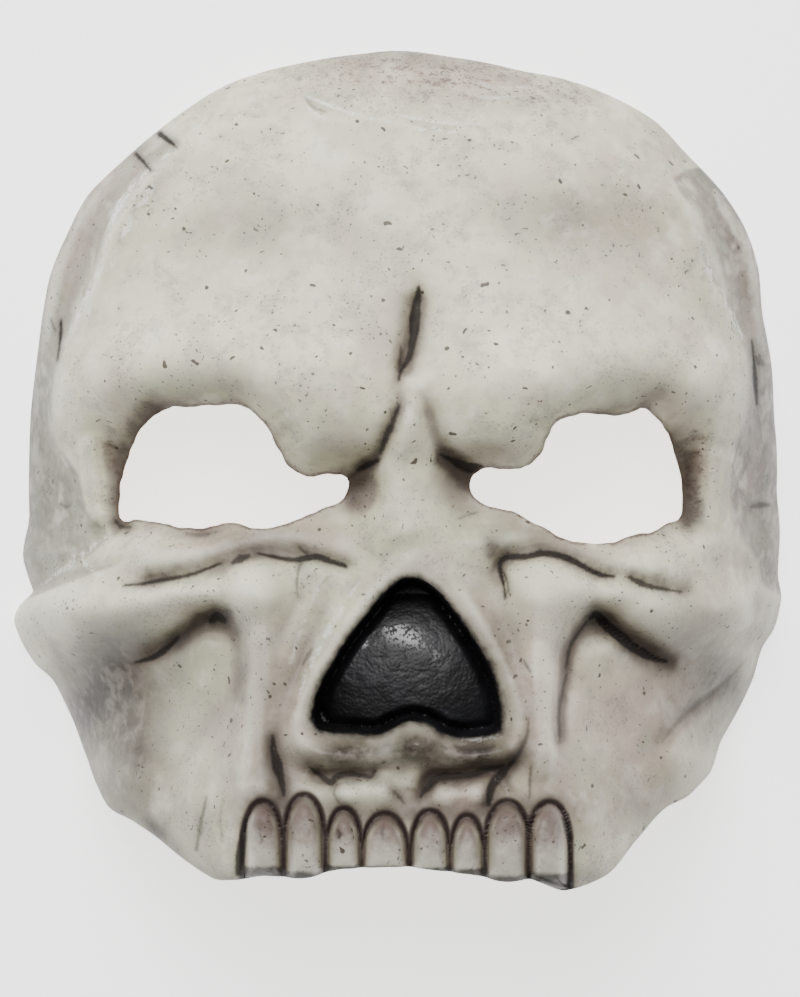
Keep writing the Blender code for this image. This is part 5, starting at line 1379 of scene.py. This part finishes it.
def bone_paint():
    """Painted latex: ivory, thin colours from an airbrush, dark wash and painted shade in hollows, painted
    highlights on ridges and tops, brushed lines, pits and specks.
    """
    p = Paint("bone_paint")
    broad, middle, small, grain = p.noise(46, 1), p.noise(13, 3, 0.6), p.noise(3.2, 2, 0.6), p.noise(0.8, 1)
    streak = p.noise(6, 3, 0.65, 0.3)
    near, far = p.read("near_relief"), p.read("far_relief")

    p.colour = p.mix(p.step(broad + 0.5 * middle, 0.55, 0.95), tone(201, 199, 168), tone(213, 207, 181))
    # The temple planes are painted darker, as painted shade where they turn away from the light.
    plane = p.step(p.read("side_plane") + 0.7 * (small - 0.5), -0.5, 0.9)
    side = p.mix(p.read("mauve"), tone(74, 73, 63), tone(64, 56, 57))
    p.coat(0.92 * plane * (0.45 + 0.8 * streak), side)
    # Painted highlight on the tops of the forms.
    p.coat(p.read("cream_highlight") * (0.35 + 0.75 * streak), tone(224, 221, 188))
    # Sage and mauve: thin colours of the paint, partly painted shade in dips, under forms and at the sides.
    p.coat(0.85 * p.read("sage") * (0.30 + 0.95 * middle), tone(134, 137, 114))
    p.coat(0.90 * p.read("mauve") * (0.25 + 1.0 * streak), tone(112, 93, 87))
    p.coat(0.60 * p.read("pink") * (0.30 + 1.0 * small), tone(204, 180, 168))
    cloud = p.noise(10.5, 2, 0.6, 0.5)
    p.coat(0.50 * p.step(cloud + 0.25 * (small - 0.5), 0.50, 0.70), tone(160, 161, 146))
    p.coat(0.46 * p.step(cloud * -1.0 + 0.25 * (small - 0.5), -0.50, -0.30), tone(232, 226, 210))
    p.coat(0.42 * p.step(p.noise(17, 1, shift=0.8), 0.52, 0.68), tone(178, 159, 148))
    # Umber: dark brown paint, partly painted shade on the jaws and sides.
    umber = p.read("umber")
    p.coat(umber * (0.72 + 0.70 * streak), tone(56, 49, 42))
    p.coat(0.42 * p.step(small * 0.6 + middle * 0.6, 0.56, 0.76), tone(150, 141, 130))

    # Darker in the hollows and lighter on the ridges and tops: partly wash and wear, partly painted shade and
    # painted highlight.
    hollow = p.step(near * -1.0 + 0.5 * (middle - 0.5), 0.05, 1.0)
    p.coat(0.66 * hollow, tone(98, 85, 77))
    wide_hollow = p.step(far * -1.0 + 0.9 * (middle - 0.5), 0.1, 2.8)
    p.coat(0.38 * wide_hollow, tone(116, 104, 95))
    ridge_light = p.step(near + 0.4 * (small - 0.5), 0.15, 1.0) * (1 - umber) ** 2
    p.coat(0.50 * ridge_light, tone(228, 223, 204))
    p.coat(0.45 * p.read("cream_highlight") * (0.20 + 1.0 * middle), tone(236, 232, 212))
    stain = 0.45 * p.step(streak * 0.7 + small * 0.5, 0.38, 0.80)
    stain = stain + 0.60 * p.step(small * 0.6 + grain * 0.5, 0.57, 0.68)
    p.coat(p.read("rust") * stain, tone(96, 74, 62))
    # Painted shade beside the lines and along the washes, partly paint from an airbrush.
    shade = p.read("shade")
    shade = p.step(shade + 0.5 * shade * (small - 0.5) + 0.4 * shade * (middle - 0.5), 0.0, 0.95)
    p.coat(0.88 * shade, tone(60, 50, 45))

    # Teeth are pinkish grey at the roots and pale at the tips, with dark wash round each, and a darker band along
    # the tips.
    tooth, level = p.read("tooth"), p.read("tooth_level")
    body = p.step(tooth, 0.4, 2.2)
    root = p.mix(p.step(level + 0.7 * (streak - 0.5), 0.22, 0.90), tone(92, 76, 72), tone(200, 193, 181))
    p.coat(0.86 * body, root)
    row = p.step(tooth, -1.9, -0.8)
    p.coat(0.55 * row * p.step(tooth + 0.8 * (small - 0.5), 1.5, -0.1), tone(80, 66, 62))
    p.coat(0.94 * row * p.step(tooth + 0.7 * (small - 0.5), 0.35, -0.25), tone(46, 37, 35))
    tip = p.step(level + 0.16 * (middle - 0.5) + 0.05 * (small - 0.5), 0.90, 0.97)
    p.coat(0.86 * tip * row, tone(56, 51, 46))

    wobble = 0.55 * (small - 0.5) + 0.28 * (grain - 0.5)
    ink = line_cover(p, 0, wobble)
    for number in range(1, len(DARK_LAYERS)):
        ink = ink.most(line_cover(p, number, wobble))
    p.coat(0.96 * ink, tone(30, 25, 23))
    # Pale lines: rubbed-off paint, and painted highlights along the temple edges and folds.
    pale = line_cover(p, len(DARK_LAYERS), 0.5 * wobble)
    for number in range(len(DARK_LAYERS) + 1, len(DARK_LAYERS) + len(PALE_LAYERS)):
        pale = pale.most(line_cover(p, number, 0.5 * wobble))
    scuffs_and_highlights = pale * p.step(small + 0.5 * grain, 0.62, 0.90)
    p.coat(0.80 * scuffs_and_highlights, tone(236, 235, 230))

    # Pits, specks and dust
    pits = p.step(p.noise(2.1, 0, shift=0.7), 0.80, 0.83)
    dots = p.step(p.noise(1.0, 0, shift=0.4) + 0.5 * (cloud - 0.5), 0.79, 0.84)
    dust = p.step(grain + 0.6 * (middle - 0.5), 0.64, 0.74)
    specks = (0.90 * pits).most(0.75 * dots).most(0.24 * dust)
    p.coat(specks, tone(68, 60, 52))

    # A dark, torn line runs round the cut eye holes.
    rim = p.step(p.read("eye_rim") + 1.6 * (small - 0.5) + 0.5 * (grain - 0.5), 0.95, 0.15)
    p.coat(0.82 * rim * p.step(streak, 0.26, 0.52), tone(74, 58, 48))

    # The nose hollow is painted a glossy black that feathers over its lip.
    nose = p.read("nose") + 1.9 * (small - 0.5)
    p.coat(0.62 * p.step(nose, 3.8, -0.2), tone(84, 76, 66))
    p.coat(0.86 * p.step(nose, 1.9, -0.2), tone(36, 32, 28))
    black = p.step(nose, 0.45, -0.45)
    p.coat(black, p.mix(p.step(middle, 0.40, 0.70), tone(8, 8, 9), tone(22, 22, 26)))

    # The inside is bare latex.
    p.coat(p.read("inside"), p.mix(p.step(middle, 0.35, 0.7), tone(206, 194, 166), tone(188, 172, 140)))

    rough = 0.48 + 0.16 * (middle - 0.5) + 0.10 * (grain - 0.5)
    rough = rough + 0.15 * p.step(shade, 0.2, 0.9) + 0.25 * ink
    wet = p.read("wet") * p.step(grain + 0.8 * (small - 0.5), 0.40, 0.62)
    rough = rough * (1 - black) + black * (0.50 + 0.20 * (small - 0.5))
    relief = (0.22 + 0.5 * black) * small + 0.08 * grain
    p.fill(p.shader, {"Base Color": p.colour, "Roughness": rough, "Normal": p.bump(relief, 0.001, 0.65),
                      "IOR": 1.45, "Specular IOR Level": 0.32, "Coat Weight": wet, "Coat Roughness": 0.08})
    return p.material


def floor_paint():
    """Plain white, softly lit from within as a light table is."""
    p = Paint("floor_white")
    p.fill(p.shader, {"Base Color": (0.9, 0.9, 0.9, 1.0), "Roughness": 0.9,
                      "Emission Color": (1.0, 1.0, 1.0, 1.0), "Emission Strength": FLOOR_GLOW})
    return p.material


def add_camera():
    """Straight in front of the face, as the photograph was taken."""
    data = bpy.data.cameras.new("camera")
    data.sensor_fit = "VERTICAL"
    data.sensor_height = SENSOR
    data.lens = SENSOR * CAMERA_DISTANCE / VIEW_HEIGHT
    data.clip_end = 20
    camera = bpy.data.objects.new("camera", data)
    place = leant([(*VIEW_MIDDLE, CHEEK_HEIGHT + CAMERA_DISTANCE)])[0] - MIDDLE
    camera.matrix_world = Matrix.Translation(place) @ Matrix.Rotation(-RIM_LEAN, 4, "X")
    bpy.context.scene.collection.objects.link(camera)
    bpy.context.scene.camera = camera


def soft_light(name, power, size, place, target=(0.0, 0.0, 0.05)):
    """A square studio light, placed in the face's own frame and turned to the target."""
    data = bpy.data.lights.new(name, "AREA")
    data.energy = power
    data.size = size
    light = bpy.data.objects.new(name, data)
    start, end = leant([place])[0], leant([target])[0]
    back = (start - end) / np.linalg.norm(start - end)
    side = np.cross((0.0, 1.0, 0.0), back)
    side /= np.linalg.norm(side)
    up = np.cross(back, side)
    turn = Matrix(np.column_stack([side, up, back]).tolist()).to_4x4()
    light.matrix_world = Matrix.Translation(start) @ turn
    bpy.context.scene.collection.objects.link(light)


def add_studio():
    """A pale floor, a pale world and three soft lights."""
    mesh = bpy.data.meshes.new("floor")
    corners = [(x * FLOOR_REACH, y * FLOOR_REACH, 0) for x, y in ((-1, -1), (1, -1), (1, 1), (-1, 1))]
    mesh.from_pydata(corners, [], [(0, 1, 2, 3)])
    mesh.materials.append(floor_paint())
    floor = bpy.data.objects.new("floor", mesh)
    floor.location.z = -FLOOR_GAP
    bpy.context.scene.collection.objects.link(floor)
    world = bpy.data.worlds.new("studio")
    world.use_nodes = True
    world.node_tree.nodes["Background"].inputs["Color"].default_value = (1.0, 1.0, 1.0, 1.0)
    world.node_tree.nodes["Background"].inputs["Strength"].default_value = WORLD_LIGHT
    bpy.context.scene.world = world
    for row in LIGHTS:
        soft_light(*row)


def main():
    """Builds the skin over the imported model, then the camera, the floor and the lights."""
    skin = mask_skin(bone_paint())
    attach(skin, "root")
    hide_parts("mask_shell")
    add_camera()
    add_studio()


main()
